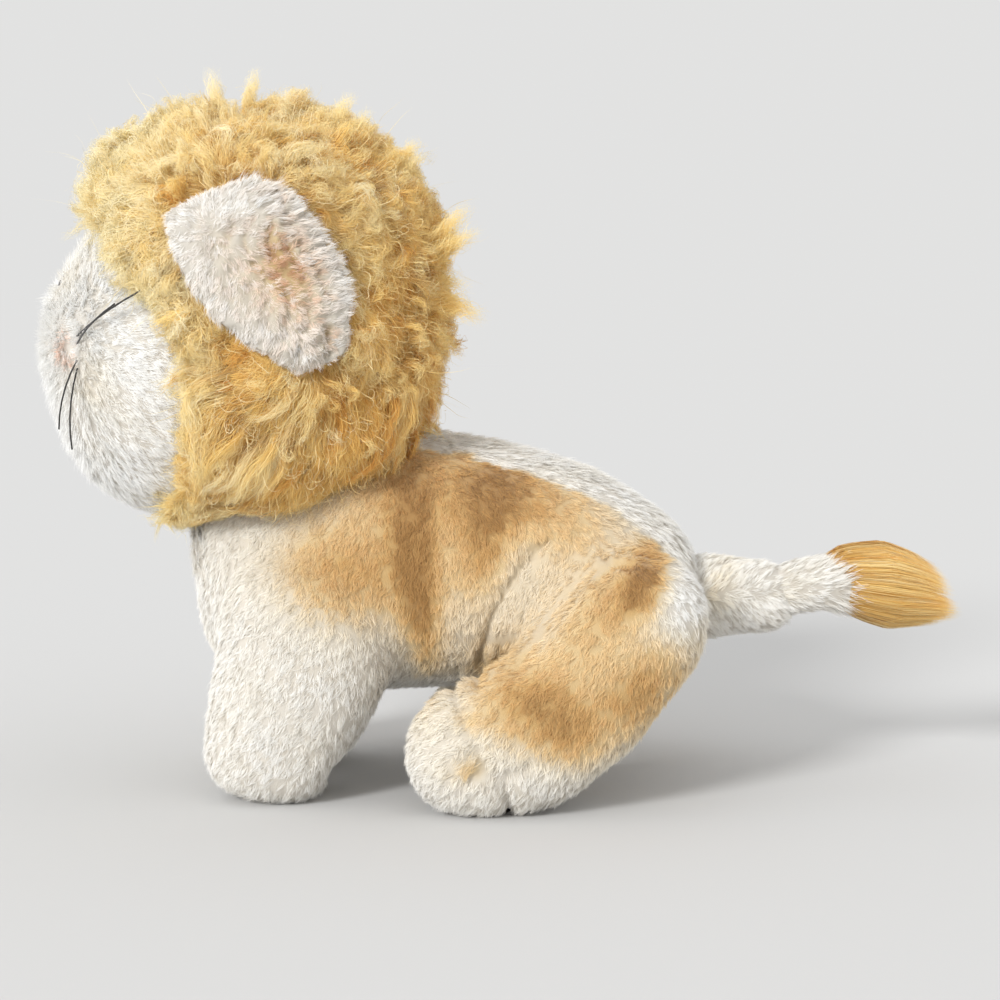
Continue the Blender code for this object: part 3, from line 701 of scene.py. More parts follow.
# Folds in a soft skin, as x and z in millimetres, with their half width and depth
BODY_FOLDS = (
    (((20, 101), (10, 90.6), (4.4, 81.9), (-1.3, 71.3), (-5, 57), (-6, 50)), 0.0014, 0.0030),
    (((41.2, 93.9), (33.8, 89.8), (21.3, 75.3), (13.2, 62), (8, 55)), 0.0013, 0.0026),
    (((38, 88), (41.5, 92), (45.5, 94.5), (50.2, 93.6)), 0.0011, 0.0032),
    (((41.5, 92), (41, 96)), 0.0010, 0.0026),
    (((-15, 47), (-12.5, 42), (-7.4, 30.6), (-2.3, 20.3), (3.9, 16.2), (5.8, 3.5), (5, 0)), 0.0015, 0.0028),
    (((-7.4, 30.6), (-13, 33), (-17, 32)), 0.0012, 0.0022),
    (((-2.3, 20.3), (-7, 19), (-10, 15)), 0.0012, 0.0022),
    (((3.9, 16.2), (8, 20), (13, 21)), 0.0012, 0.0022),
)
FACE_FOLDS = ((((-161.5, 185), (-160.5, 177), (-158.5, 169)), 0.0010, 0.0022),)
EAR_FOLDS = (
    (((-80, 219), (-81.5, 213), (-80, 207)), 0.0012, 0.0026),
    (((-75, 213), (-72.5, 207), (-68.5, 200)), 0.0011, 0.0024),
    (((-87, 205), (-84, 202), (-79, 200)), 0.0011, 0.0022),
    (((-87, 221), (-90, 215), (-89, 209)), 0.0010, 0.0016),
    (((-95, 219), (-97, 212)), 0.0014, 0.0018),
    (((-77, 196), (-73, 190)), 0.0011, 0.0016),
    (((-79.5, 234), (-77.5, 228), (-74.5, 220), (-69, 211), (-64, 203), (-60, 194)), 0.0012, 0.0020),
    (((-59.1, 181), (-60.4, 170)), 0.0012, 0.0034),
    (((-100, 197), (-92, 190)), 0.0014, 0.0010),
)
# Pile is missing where a place lies deeper than this share of the shallowest fold
CREASE_SHARE = 0.80


def sprayed(points, patches):
    """How much dye the airbrushed patches leave at each point."""
    total = np.full(len(points), BASE_HUE_SHARE)
    for x, z, half_length, half_width, turn, strength in patches:
        along = np.array((math.cos(math.radians(turn)), math.sin(math.radians(turn))))
        away = points[:, (0, 2)] - (x, z)
        run = away @ along / half_length
        reach = away @ np.array((-along[1], along[0])) / half_width
        total += strength * np.exp(-(run**2 + reach**2) / SPRAY_SOFTNESS)
    return total


def way_at(points, table, reach):
    """The way that the pile lies at each point, between the rows of a table."""
    rows = np.array(table, float)
    angles = np.radians(rows[:, 2])
    away = points[:, None, (0, 2)] - rows[None, :, :2] * MILLIMETRE
    weights = 1 / ((away**2).sum(2) + reach**2) ** 2
    flat = weights @ np.stack((np.cos(angles), np.sin(angles)), 1)
    return unit(np.stack((flat[:, 0], np.zeros(len(flat)), flat[:, 1]), 1))


def fold_depth(points, folds):
    """How far each fold pulls the cloth in at each point, by distances in the side view."""
    flat = points[:, (0, 2)]
    depth = np.zeros(len(points))
    for line, half_width, deep in folds:
        line = np.array(line, float) * MILLIMETRE
        nearest = np.full(len(points), np.inf)
        for start, end in zip(line[:-1], line[1:]):
            run = end - start
            share = np.clip((flat - start) @ run / (run @ run), 0, 1)
            away = flat - start - share[:, None] * run
            nearest = np.minimum(nearest, (away**2).sum(1))
        depth = np.maximum(depth, deep * np.exp(-nearest / (2 * half_width**2)))
    return depth


def in_crease(points, folds):
    """Whether a place lies so deep in a fold that no pile shows there."""
    shallowest = min(deep for _, _, deep in folds)
    return fold_depth(points, folds) > CREASE_SHARE * shallowest


# Body

LEG_KINDS = [end + part for end in ("front_", "hind_") for part in ("leg_", "sole_", "leg_stuffing_")]
BODY_NODES = ["body_side_left", "body_side_right", "back_strip", "belly_panel", "body_stuffing"]
BODY_NODES += [kind + side for side in SIDES for kind in LEG_KINDS]
# The back's pale strip: its half width at two places along X, its lowest reach, and its edges
STRIP_ENDS = (-0.030, 0.040)
STRIP_HALF_WIDTHS = (0.0215, 0.0300)
STRIP_LOWEST = 0.0820
STRIP_LOW_FADE = 0.006
STRIP_EDGE_FADE = 0.002
STRIP_EDGE_WAVE = 0.0012
STRIP_EDGE_WAVE_LENGTH = 0.009
STRIP_HUE_SHARE = 0.03
STRIP_FLOW = (0.85, 0.55, -0.3)
STRIP_SEAM_DEPTH = 0.0007
STRIP_SEAM_HALF_WIDTH = 0.0016
STRIP_SEAM_FADE = 0.01
DYE_GAIN_SHARE = 1.16
FINE_MOTTLE_LENGTH = 0.006
BROAD_MOTTLE_LENGTH = 0.03
# The legs' inner sides, where the airbrush doesn't reach, by distance from the middle and by height
INNER_REACH = (0.030, 0.020)
INNER_HEIGHT = (0.08, 0.07)
# The folds start beyond the first distance from the middle and are whole from the second
FOLD_BAND = (0.020, 0.035)
FOLD_REACH = 0.030
# Fine shaping of the body's outline: x and z, radius and how far it goes out, in millimetres
BODY_SHAPING = (
    (66, 34, 22, -5.5),
    (44, 10, 13, -3.0),
    (-117, 82, 22, -4.5),
    (-56, 6, 12, -7.0),
    (66, 110, 24, -3.0),
    (-34, 24, 14, 1.2),
)
# The same for the far hind paw alone, which the near one hides
FAR_SHAPING = ((-22, 28, 14, -4.0), (-28, 28, 12, -8.0))
FAR_REACH = 0.015
ROOTS_UNDER_MANE = 0.004
LOWEST_ROOT = 0.0012


def on_strip(points):
    """The share of the back's pale strip at each point."""
    edge = np.interp(points[:, 0], STRIP_ENDS, STRIP_HALF_WIDTHS)
    edge = edge + STRIP_EDGE_WAVE * mottled(points, STRIP_EDGE_WAVE_LENGTH, np.random.default_rng(10))
    across = smoothstep(STRIP_EDGE_FADE, -STRIP_EDGE_FADE, np.abs(points[:, 1]) - edge)
    return across * smoothstep(STRIP_LOWEST, STRIP_LOWEST + STRIP_LOW_FADE, points[:, 2])


def body_flow(points, normals):
    """The pile runs back and down the sides, back and outwards on the strip and down the legs."""
    strip = on_strip(points)[:, None]
    combed = np.ones((len(points), 3)) * STRIP_FLOW
    combed[:, 1] *= np.sign(points[:, 1])
    return along_surface(way_at(points, BODY_WAYS, BODY_WAY_REACH) * (1 - strip) + combed * strip, normals)


def body_hue(points, random):
    hue = sprayed(points, BODY_SPRAY_AND_SHADE) * DYE_GAIN_SHARE
    strip = on_strip(points)
    hue = hue * (1 - strip) + STRIP_HUE_SHARE * strip
    inner = smoothstep(*INNER_REACH, np.abs(points[:, 1])) * smoothstep(*INNER_HEIGHT, points[:, 2])
    hue = hue * (1 - inner) + BASE_HUE_SHARE * inner
    hue = hue * (1 + 0.05 * mottled(points, FINE_MOTTLE_LENGTH, random))
    return hue + 0.02 * mottled(points, BROAD_MOTTLE_LENGTH, random)


def make_body(mane_skin):
    random = np.random.default_rng(11)
    thing = make_skin("body_cover", BODY_NODES, BODY_SURFACE)
    mesh = thing.data
    set_points(mesh, reshaped(points_of(mesh), normals_of(mesh), BODY_SHAPING))
    points = points_of(mesh)
    far = reshaped(points, normals_of(mesh), FAR_SHAPING)
    set_points(mesh, np.where(points[:, 1:2] > FAR_REACH, far, points))
    points, normals = np.where(points[:, 1:2] > FAR_REACH, far, points), normals_of(mesh)
    folded = smoothstep(*FOLD_BAND, np.abs(points[:, 1])) * fold_depth(points, BODY_FOLDS)
    points = points - normals * folded[:, None]
    strip_edge = np.interp(points[:, 0], STRIP_ENDS, STRIP_HALF_WIDTHS)
    seam = bell((np.abs(points[:, 1]) - strip_edge) / STRIP_SEAM_HALF_WIDTH) * STRIP_SEAM_DEPTH
    seam = seam * smoothstep(STRIP_LOWEST - STRIP_SEAM_FADE, STRIP_LOWEST, points[:, 2])
    points = points - normals * seam[:, None]
    points[:, 2] = np.maximum(points[:, 2], 0.0)
    set_points(mesh, points)
    hues = body_hue(points, random)
    skin = finished_skin(thing, BODY_NODES, hues, BACKING_LIGHT_SHARE, CREAM, "lion")
    for name, pile, is_strip in (("body_pile", BODY_PILE, False), ("strip_pile", STRIP_PILE, True)):
        places, normals = scattered(skin, pile.spacing, random)
        kept = (on_strip(places) > 0.5) == is_strip
        places, normals = places[kept], normals[kept]
        kept = (depth_inside(mane_skin, places) < ROOTS_UNDER_MANE) & (places[:, 2] > LOWEST_ROOT)
        kept &= ~((np.abs(places[:, 1]) > FOLD_REACH) & in_crease(places, BODY_FOLDS))
        places, normals = places[kept], normals[kept]
        flows = body_flow(places, normals)
        hues = body_hue(places, random)
        add_short_pile(name, places, normals, flows, hues, pile, "lion", random)
    return skin


# Face

EYE_CLEARANCE = 0.0004
NOSE_CLEARANCE = 0.0002
FACE_FLOW_CENTRE = (-0.1850, 0.0, 0.1740)
FACE_FLOW_SHARES = (1.0, 0.35, 1.0)
FACE_FLOW_LEAN = (0.35, 0.0, -0.25)
FACE_FRONT_BAND = (0.35, 0.85)
# How much lighter the painted shade at the face pile's roots is
FACE_LIFT_SHARE = 0.50
CHEEK_DIMPLE = (-0.1600, 0.0420, 0.1770)
CHEEK_DIMPLE_DEPTH = 0.0016
CHEEK_DIMPLE_RADIUS = 0.005
CHEEK_DIMPLE_SHARES = (1, 1, 0.6)
FACE_FOLD_BAND = (0.020, 0.028)
FACE_FOLD_REACH = 0.026
FACE_ROOTS_UNDER_MANE = 0.002
# Faint tan and pink on the face: x, y and z of a place, its radius and strength
FACE_TINTS = (
    (-0.167, 0.030, 0.203, 0.009, 0.12),
    (-0.151, 0.050, 0.160, 0.012, 0.12),
    (-0.140, 0.058, 0.143, 0.009, 0.10),
    (-0.158, 0.044, 0.132, 0.010, 0.08),
)
PINK_PATCH = (-0.163, 0.038, 0.173, 0.0075, 0.75)
# The cloth's rim round each eye and the pile that stands over it, on the eye's outer side
SOCKET_RADIUS = 0.0078
SOCKET_WIDTH = 0.0026
SOCKET_HEIGHT = 0.0020
HOOD_RADII = (0.0075, 0.0115)
OUTER_BAND = (-0.2, 0.5)
FACE_SHAPING = (
    (-158, 124, 24, 3.2),
    (-133, 110, 18, 3.5),
    (-172, 142, 18, 2.0),
    (-178, 172, 12, 1.0),
)


def mirrored(points):
    """Points on the far side taken over to the near one's mirror image."""
    return np.abs(points) * (-1, 1, 1)


def tinted(points, tints):
    total = np.zeros(len(points))
    folded = mirrored(points)
    for x, y, z, radius, strength in tints:
        total += strength * np.exp(-((folded - (x, y, z)) ** 2).sum(1) / radius**2)
    return total


def node_box(node):
    return (np.array(corner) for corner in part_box(node))


def eye_sides(points):
    """For each eye the ways from its middle, their lengths, and the share that lies on its outer side."""
    for side, sign in SIDES.items():
        lowest, highest = node_box("eye_" + side)
        middle = (lowest + highest) / 2
        middle[0] = lowest[0]
        away = points - middle
        yield away, np.linalg.norm(away, axis=1), smoothstep(*OUTER_BAND, sign * unit(away)[:, 1])


def socket_rims(points):
    """How far the cloth swells up on the outer side of each eye."""
    height = np.zeros(len(points))
    for _, reach, outer in eye_sides(points):
        height += outer * bell((reach - SOCKET_RADIUS) / SOCKET_WIDTH)
    return height * SOCKET_HEIGHT


def clear_of(node, places, clearance):
    """Whether each place lies outside a small CAD node grown by the clearance."""
    lowest, highest = node_box(node)
    middle, half = (lowest + highest) / 2, (highest - lowest) / 2 + clearance
    return (((places - middle) / half) ** 2).sum(1) > 1


def make_face(mane_skin):
    random = np.random.default_rng(12)
    nodes = ["face_panel", "head_stuffing"]
    thing = make_skin("face_cover", nodes, FACE_SURFACE)
    mesh = thing.data
    normals = normals_of(mesh)
    points = reshaped(points_of(mesh), normals, FACE_SHAPING)
    away = (mirrored(points) - CHEEK_DIMPLE) * CHEEK_DIMPLE_SHARES
    dimple = CHEEK_DIMPLE_DEPTH * np.exp(-(away**2).sum(1) / CHEEK_DIMPLE_RADIUS**2)
    dimple += fold_depth(points, FACE_FOLDS) * smoothstep(*FACE_FOLD_BAND, np.abs(points[:, 1]))
    points = points - normals * dimple[:, None]
    points = points + normals * socket_rims(points)[:, None]
    set_points(mesh, points)
    skin = finished_skin(thing, nodes, tinted(points, FACE_TINTS), BACKING_LIGHT_SHARE, CREAM, "lion")
    places, normals = scattered(skin, FACE_PILE.spacing, random)
    kept = depth_inside(mane_skin, places) < FACE_ROOTS_UNDER_MANE
    for side in SIDES:
        kept &= clear_of("eye_" + side, places, EYE_CLEARANCE)
    kept &= clear_of("nose", places, NOSE_CLEARANCE)
    kept &= ~((np.abs(places[:, 1]) > FACE_FOLD_REACH) & in_crease(places, FACE_FOLDS))
    places, normals = places[kept], normals[kept]
    hues = tinted(places, FACE_TINTS) * (1 + 0.3 * mottled(places, FINE_MOTTLE_LENGTH, random))
    outward = unit((places - FACE_FLOW_CENTRE) * FACE_FLOW_SHARES) + FACE_FLOW_LEAN
    eyes = np.zeros(len(places))
    for away, reach, outer in eye_sides(places):
        near = 1 - smoothstep(*HOOD_RADII, reach)
        outward = outward * (1 - near[:, None]) + unit(away) * near[:, None]
        eyes += near * outer
    flows = along_surface(outward, normals)
    front = smoothstep(*FACE_FRONT_BAND, -normals[:, 0]) * (1 - eyes)
    rise_share = 1 + 1.2 * front + 2.0 * eyes
    length_share = 1 + 0.25 * front + 0.30 * eyes
    pink = tinted(places, (PINK_PATCH,)) > random.random(len(places)) * 0.8 + 0.15
    for name, rows, material in (("face_pile", ~pink, CREAM.strands), ("pink_pile", pink, PINK_STRANDS)):
        add_short_pile(
            name,
            places[rows],
            normals[rows],
            flows[rows],
            hues[rows],
            FACE_PILE,
            "lion",
            random,
            material,
            length_share[rows],
            rise_share[rows],
            FACE_LIFT_SHARE,
        )
    return skin


# Mane

MANE_REACH_LIMIT = 0.2820
# Painted shade on the mane's skin under the strands: a low light share and more ochre
MANE_BACKING_LIGHT_SHARE = 0.35
MANE_BACKING_SHADE_HUE_SHARE = 0.15
# Below this height the mane hangs in long combed locks, and above it stands in short curls
COMBED_HEIGHT = 0.1640
COMBED_EDGE_SPREAD = 0.006
# Shaping of the mane's outline: x and z, radius and how far it goes out, in millimetres
MANE_SHAPING = (
    (-75, 240, 75, -2.2),
    (-17, 156, 22, -4.5),
    (-25, 138, 16, -3.5),
    (-156, 216, 12, -2.0),
    (-138, 250, 16, 1.5),
    (-118, 262, 12, 1.5),
    (-100, 268, 9, -2.5),
    (-21, 238, 15, -4.5),
    (-128, 103, 12, -4.0),
    (-10, 192, 24, -4.5),
    (-38, 252, 12, -4.0),
    (-64, 268, 14, -2.5),
)
# How far the mane's front edge lies behind its panel's edge on the sides, by height, in millimetres
MANE_FRONT_HEIGHTS = (104, 116, 130, 145, 180, 200, 215)
MANE_FRONT_SHIFTS = (0.0, 3.0, 7.0, 7.0, 5.4, 2.2, 0.0)
MANE_FRONT_EDGE = -0.1230
MANE_FRONT_BAND = 0.0280
MANE_FRONT_SIDES = (0.025, 0.045)
MANE_EDGE_REACH = 0.0060
MANE_LUMP = 0.0022
MANE_LUMP_LENGTH = 0.032
MANE_MOTTLE_LENGTH = 0.012
MANE_BULGE_LENGTH = 0.026
# The mane's lower edge under the chin, as x and z in millimetres
MANE_HEM = (
    (-130, 128),
    (-124, 113),
    (-120, 103.5),
    (-114, 106),
    (-100, 109),
    (-90, 110),
    (-84, 90),
    (0, 60),
)
HEM_LEAST_ROOM = 0.002
HEM_MIDDLE = 0.02
EAR_BOX_MARGIN = 0.002
EAR_STRAND_GAP = 0.0003
# Pile presses flat where an ear lies within this reach over it
EAR_SHADE_HEIGHT = 0.008
EAR_SHADE_REACH = 0.0035
# Hollows in the mane, painted in shade as ochre: x, z and radius in millimetres, and strength
MANE_SHADED_HOLLOWS = (
    (-145, 226, 5, 0.25),
    (-113, 226, 8, 0.45),
    (-93, 239, 7, 0.30),
    (-60, 246, 10, 0.22),
    (-45, 192, 10, 0.20),
    (-88, 173, 8, 0.30),
    (-60, 157, 6, 0.35),
    (-100, 190, 8, 0.20),
)
# The mane is darker low down and at the back and paler towards the face, each between two places
LOW_BAND = (0.20, 0.12)
BACK_BAND = (-0.07, -0.02)
PALE_BAND = (-0.09, -0.14)
# The ring of pile round the face: its middle, and the band of heights that belongs to the chin
RING_MIDDLE = (0.0, 0.0, 0.165)
CHIN_BAND = (0.150, 0.115)
CHIN_BACK_BAND = (-0.085, -0.110)
CHIN_SHORT_BAND = (0.145, 0.120)
CHIN_FACING_BAND = (0.10, 0.50)


def mane_way(points, normals):
    """Ways along the mane: the side's own guides, and straight outwards on the ring round the face."""
    side = way_at(points, MANE_WAYS, MANE_WAY_REACH)
    chin = smoothstep(*CHIN_BAND, points[:, 2])[:, None]
    ring = unit((points - RING_MIDDLE) * (0, 1, 1)) + (1, 0, 0) * (0.8 * chin - 0.35)
    front = smoothstep(0.35, 0.80, -normals[:, 0])[:, None]
    return along_surface(side * (1 - front) + ring * front, normals)


def mane_hue(points, random):
    hue = 0.27 + 0.16 * smoothstep(*LOW_BAND, points[:, 2]) + 0.32 * smoothstep(*BACK_BAND, points[:, 0])
    hue -= 0.24 * smoothstep(*PALE_BAND, points[:, 0])
    return hue + soft_spots(points, MANE_SHADED_HOLLOWS) + 0.08 * mottled(points, MANE_MOTTLE_LENGTH, random)


def mane_bulge(points, random):
    """A share from hollow to bulging, in soft lumps over the mane."""
    bulge = 0.5 + 0.45 * mottled(points, MANE_BULGE_LENGTH, random)
    return np.clip(bulge - 2 * soft_spots(points, MANE_SHADED_HOLLOWS), 0, 1)


def paler(points):
    """How much lighter the pile is towards the face."""
    return 0.25 * smoothstep(*PALE_BAND, points[:, 0])


def front_moved(points):
    """The mane's points with the front edge on the sides moved back."""
    shift = np.interp(points[:, 2] / MILLIMETRE, MANE_FRONT_HEIGHTS, MANE_FRONT_SHIFTS) * MILLIMETRE
    shift *= smoothstep(MANE_FRONT_EDGE + MANE_FRONT_BAND, MANE_FRONT_EDGE, points[:, 0])
    shift *= smoothstep(*MANE_FRONT_SIDES, np.abs(points[:, 1]))
    return points + shift[:, None] * (1, 0, 0)


def make_mane_skin():
    thing = make_skin("mane_cover", ["mane", "head_stuffing"], MANE_SURFACE)
    mesh = thing.data
    random = np.random.default_rng(13)
    points = front_moved(reshaped(points_of(mesh), normals_of(mesh), MANE_SHAPING))
    set_points(mesh, points)
    lumps = mottled(points, MANE_LUMP_LENGTH, random) * MANE_LUMP
    lumps *= close_to("mane", points, MANE_EDGE_REACH)
    points = points + normals_of(mesh) * lumps[:, None]
    set_points(mesh, points)
    # Painted shade: the skin under the strands is more ochre than the strands
    hues = mane_hue(points, random) + MANE_BACKING_SHADE_HUE_SHARE
    return finished_skin(thing, ["mane"], hues, MANE_BACKING_LIGHT_SHARE, GOLD, "lion")


# A piece of mane: rings to a strand, how it leaves the skin, sinks and follows the way of the pile, the
# painted shade at its roots, and the spreads of hue, light, facing and width from strand to strand
Growth = namedtuple("Growth", "rings rise drop hold_share root_light hue light facing width")
COMBED_GROWTH = Growth(9, 0.8, 0.10, 0.55, 0.18, 0.08, 0.08, 0.45, 0.25)
CURLY_GROWTH = COMBED_GROWTH._replace(hold_share=0.20)
TUFT_GROWTH = Growth(9, 1.4, 0.0, 0.08, 0.45, 0.05, 0.05, 0.5, 0.2)
STRAY_GROWTH = Growth(11, 1.5, 0.02, 0.06, 0.55, 0.08, 0.05, 0.4, 0.2)
SPIKE_GROWTH = Growth(9, 0.0, 0.0, 0.0, 0.45, 0.08, 0.06, 0.5, 0.0)

# Two kinds of lock: spacing, shortest and longest, wave size, greatest steady turn from ring to ring,
# radius, curl of the strands, their number, pull towards the tip, growth
Locks = namedtuple("Locks", "spacing shortest longest wave turn radius curl strands pull_share growth")
COMBED_LOCKS = Locks(0.0056, 0.022, 0.036, 0.24, 0.0, 0.0023, 0.0007, 38, 0.44, COMBED_GROWTH)
CURLY_LOCKS = Locks(0.0048, 0.012, 0.024, 0.45, 0.75, 0.0022, 0.0014, 31, 0.26, CURLY_GROWTH)
LOCK_LOWEST = 0.0006
LOCK_HIGHEST = 0.0068
# Short curling tufts that stand out of the mane
STANDING_SPACING = 0.0105
STANDING_STRANDS = 26
STANDING_LENGTHS = (0.009, 0.016)
STANDING_HEIGHTS = (0.004, 0.009)
STANDING_RADII = (0.0014, 0.0026)
STANDING_PULL_SHARE = 0.45
STANDING_CURL = 0.0008
# Single strands over the locks
STRAY_SPACING = 0.0035
STRAY_COUNT = 15000
STRAY_LENGTHS = (0.007, 0.022)
STRAY_HEIGHTS = (0.003, 0.0095)
# A strand keeps to its height over the skin within this reach, and sinks to it by the share
CLING_REACH = 0.012
SINK_SHARE = 0.4
FRIZZ = 0.00030
UNDERCOAT_ROOT_SPREAD = 0.001
UNDERCOAT_CURL = 0.0016
# Painted shade along the undercoat's strands, darkest at the roots
UNDERCOAT_LIGHT_SHARES = (0.25, 0.5, 0.7, 0.85, 0.95)
# Below the combed height the undercoat gets painted shade as extra ochre, fading over this band
UNDERCOAT_LOW_FADE = 0.01
UNDERCOAT_SHADED_BAND = (COMBED_HEIGHT + UNDERCOAT_LOW_FADE, COMBED_HEIGHT - UNDERCOAT_LOW_FADE)
ROOTS_OVER_BODY = 0.001
# Spikes on the mane's outline: x, y and z of the root and the tip in millimetres, half width, strands
MANE_SPIKES = (
    ((-104, -18, 256), (-109.0, -20, 284.0), 2.3, 210),
    ((-96, -14, 258), (-90.5, -14, 284.0), 2.2, 200),
    ((-66, -20, 256), (-52, -20, 272), 3.6, 220),
    ((-60, -16, 252), (-45, -18, 266), 3.0, 120),
    ((-46, -20, 240), (-29, -20, 256), 3.8, 240),
    ((-42, -22, 236), (-26, -20, 247), 3.2, 160),
    ((-33, -30, 212), (-9, -30, 231), 4.0, 250),
    ((-31, -32, 208), (-4, -30, 221), 3.8, 230),
    ((-31, -30, 203), (-9, -28, 212), 3.4, 160),
    ((-28, -32, 194), (-1, -30, 182), 3.8, 250),
    ((-26, -28, 200), (-7, -26, 197), 3.4, 160),
    ((-24, -28, 182), (-9, -28, 172), 3.2, 120),
    ((-143, -28, 226), (-159, -30, 239), 3.4, 180),
    ((-145, -34, 220), (-160, -34, 229), 3.2, 160),
    ((-134, -20, 238), (-143, -22, 253), 3.0, 160),
    ((-126, -20, 246), (-132, -22, 260), 2.8, 120),
    ((-80, -20, 258), (-77, -22, 273), 3.0, 110),
    ((-84, 20, 257), (-80, 24, 275), 3.4, 120),
    ((-110, 22, 254), (-118, 26, 270), 3.2, 110),
    ((-48, 24, 240), (-34, 28, 253), 4.0, 120),
    ((-32, 12, 210), (-12, 14, 220), 4.2, 130),
    ((-30, 34, 196), (-12, 38, 190), 4.0, 120),
    ((-140, 28, 230), (-152, 32, 241), 3.0, 100),
)
SPIKE_PULL_SHARE = 0.20
SPIKE_CURL = 0.0023
SPIKE_FRAY_SHARE = 0.75

# What all makers of mane pieces need: the skin, the ears' skins, and functions for roots and shelter
Mane = namedtuple("Mane", "skin ears open_roots sheltered")


def grown(mane, roots, normals, lengths, heights, turns, growth):
    """Paths that leave the mane's skin, lie along it at their height and hang free past its edge."""
    step = (lengths / (growth.rings - 1))[:, None]
    heading = unit(mane_way(roots, normals) + normals * growth.rise)
    paths = [roots]
    for ring in range(1, growth.rings):
        place = paths[-1] + heading * step
        nearest, surface = nearest_rows(mane.skin, place)
        short = heights[:, None] * min(1.0, ring / 2) - dots(place - nearest, surface)
        near = np.linalg.norm(place - nearest, axis=1, keepdims=True) < CLING_REACH
        place = place + surface * np.where(short > 0, short, SINK_SHARE * short) * near
        paths.append(place)
        heading = unit(place - paths[-2])
        way = mane_way(nearest, surface) * growth.hold_share * near
        heading = unit(heading * (1 - growth.hold_share) + way + (0.0, 0.0, -growth.drop))
        angle = turns[:, ring - 1, None]
        heading = unit(heading * np.cos(angle) + np.cross(surface, heading) * np.sin(angle))
    return np.stack(paths, 1)


def waves(count, rings, size, random):
    """Turns from ring to ring that make each path wave, each in its own way."""
    phase = random.random((count, 1)) * math.tau
    pace = random.uniform(0.7, 1.5, (count, 1))
    own = random.normal(0, 0.5, (count, 1))
    return size * (np.sin(phase + pace * np.arange(rings - 1)) + own)


def curled(turn, count, rings, size, random):
    """Turns that curl each path steadily to one side, on top of its waves."""
    steady = np.repeat(random.normal(0, turn, (count, 1)), rings - 1, 1)
    return steady + waves(count, rings, size, random)


def lock_strands(guides, normals, strands, radius, pull, curl, random):
    """Strands round each guide, gathered towards its tip, each with a curl of its own."""
    locks, rings = guides.shape[:2]
    owner = np.repeat(np.arange(locks), int(strands * QUICK_SHARE))
    count = len(owner)
    tangents = unit(np.gradient(guides, axis=1))
    across = unit(np.cross(tangents, normals[:, None]))
    above = np.cross(across, tangents)
    along = np.linspace(0, 1, rings)
    loose = np.minimum(1, along * 2.5)
    reach = np.broadcast_to(radius, (locks,))[owner, None] * (1 - pull * along**0.8)
    start = random.normal(0, 0.6, (count, 2))
    start[:, 1] = np.abs(start[:, 1]) * 0.7
    phase = random.random((count, 1)) * math.tau
    cycles = random.normal(1.0, 0.3, (count, 1)) * 2.0
    swirl = np.broadcast_to(curl, (locks,))[owner, None] * loose
    swirl = swirl * random.uniform(0.4, 1.6, (count, 1))
    frizz = random.normal(0, FRIZZ, (2, count, rings)) * loose
    angle = phase + math.tau * cycles * along
    aside = start[:, :1] * reach + swirl * np.cos(angle) + frizz[0]
    up = start[:, 1:] * reach + swirl * np.sin(angle) + frizz[1]
    share = np.clip(1 - np.abs(random.normal(0, 0.16, (count, 1))), 0.4, 1.0)
    spots = share * along * (rings - 1)
    below = np.minimum(spots.astype(int), rings - 2)
    part = (spots - below)[..., None]
    rows = owner[:, None]
    lines = (guides, across, above)
    middle, side, rise = (line[rows, below] * (1 - part) + line[rows, below + 1] * part for line in lines)
    return middle + side * aside[..., None] + rise * up[..., None], owner


def trimmed(paths):
    """Strands shortened so that none hangs below the mane's lower edge."""
    xs, zs = np.array(MANE_HEM).T * MILLIMETRE
    hem = np.interp(paths[..., 0], xs, zs)
    feet = paths[:, :1]
    room = np.maximum(feet[..., 2] - hem, HEM_LEAST_ROOM)
    fall = np.maximum(feet[..., 2] - paths[..., 2], TINY)
    share = np.clip((room / fall).min(1), 0.2, 1.0)
    share = np.where(np.abs(feet[:, 0, 1]) > HEM_MIDDLE, share, np.maximum(share, 0.5))
    return feet + (paths - feet) * share[:, None, None]


def add_mane(name, strands, ears):
    """Mane strands lowered to stay below the size limit, with those left out that run into an ear."""
    paths = trimmed(strands.paths)
    feet = paths[:, :1, 2]
    tops = paths[..., 2].max(1)[:, None]
    lowering = np.minimum(1, (MANE_REACH_LIMIT - feet) / np.maximum(tops - feet, TINY))
    paths[..., 2] = feet + (paths[..., 2] - feet) * lowering
    kept = np.ones(len(paths), bool)
    for ear in ears:
        low, high = ear.points.min(0) - EAR_BOX_MARGIN, ear.points.max(0) + EAR_BOX_MARGIN
        boxed = ((paths > low) & (paths < high)).all(2)
        touched = np.zeros(paths.shape[:2], bool)
        if boxed.any():
            touched[boxed] = depth_inside(ear, paths[boxed]) > -EAR_STRAND_GAP
        kept &= ~touched.any(1)
    add_ribbons(name, chosen(strands._replace(paths=paths), kept), GOLD.strands, "lion", GOLD.slot)


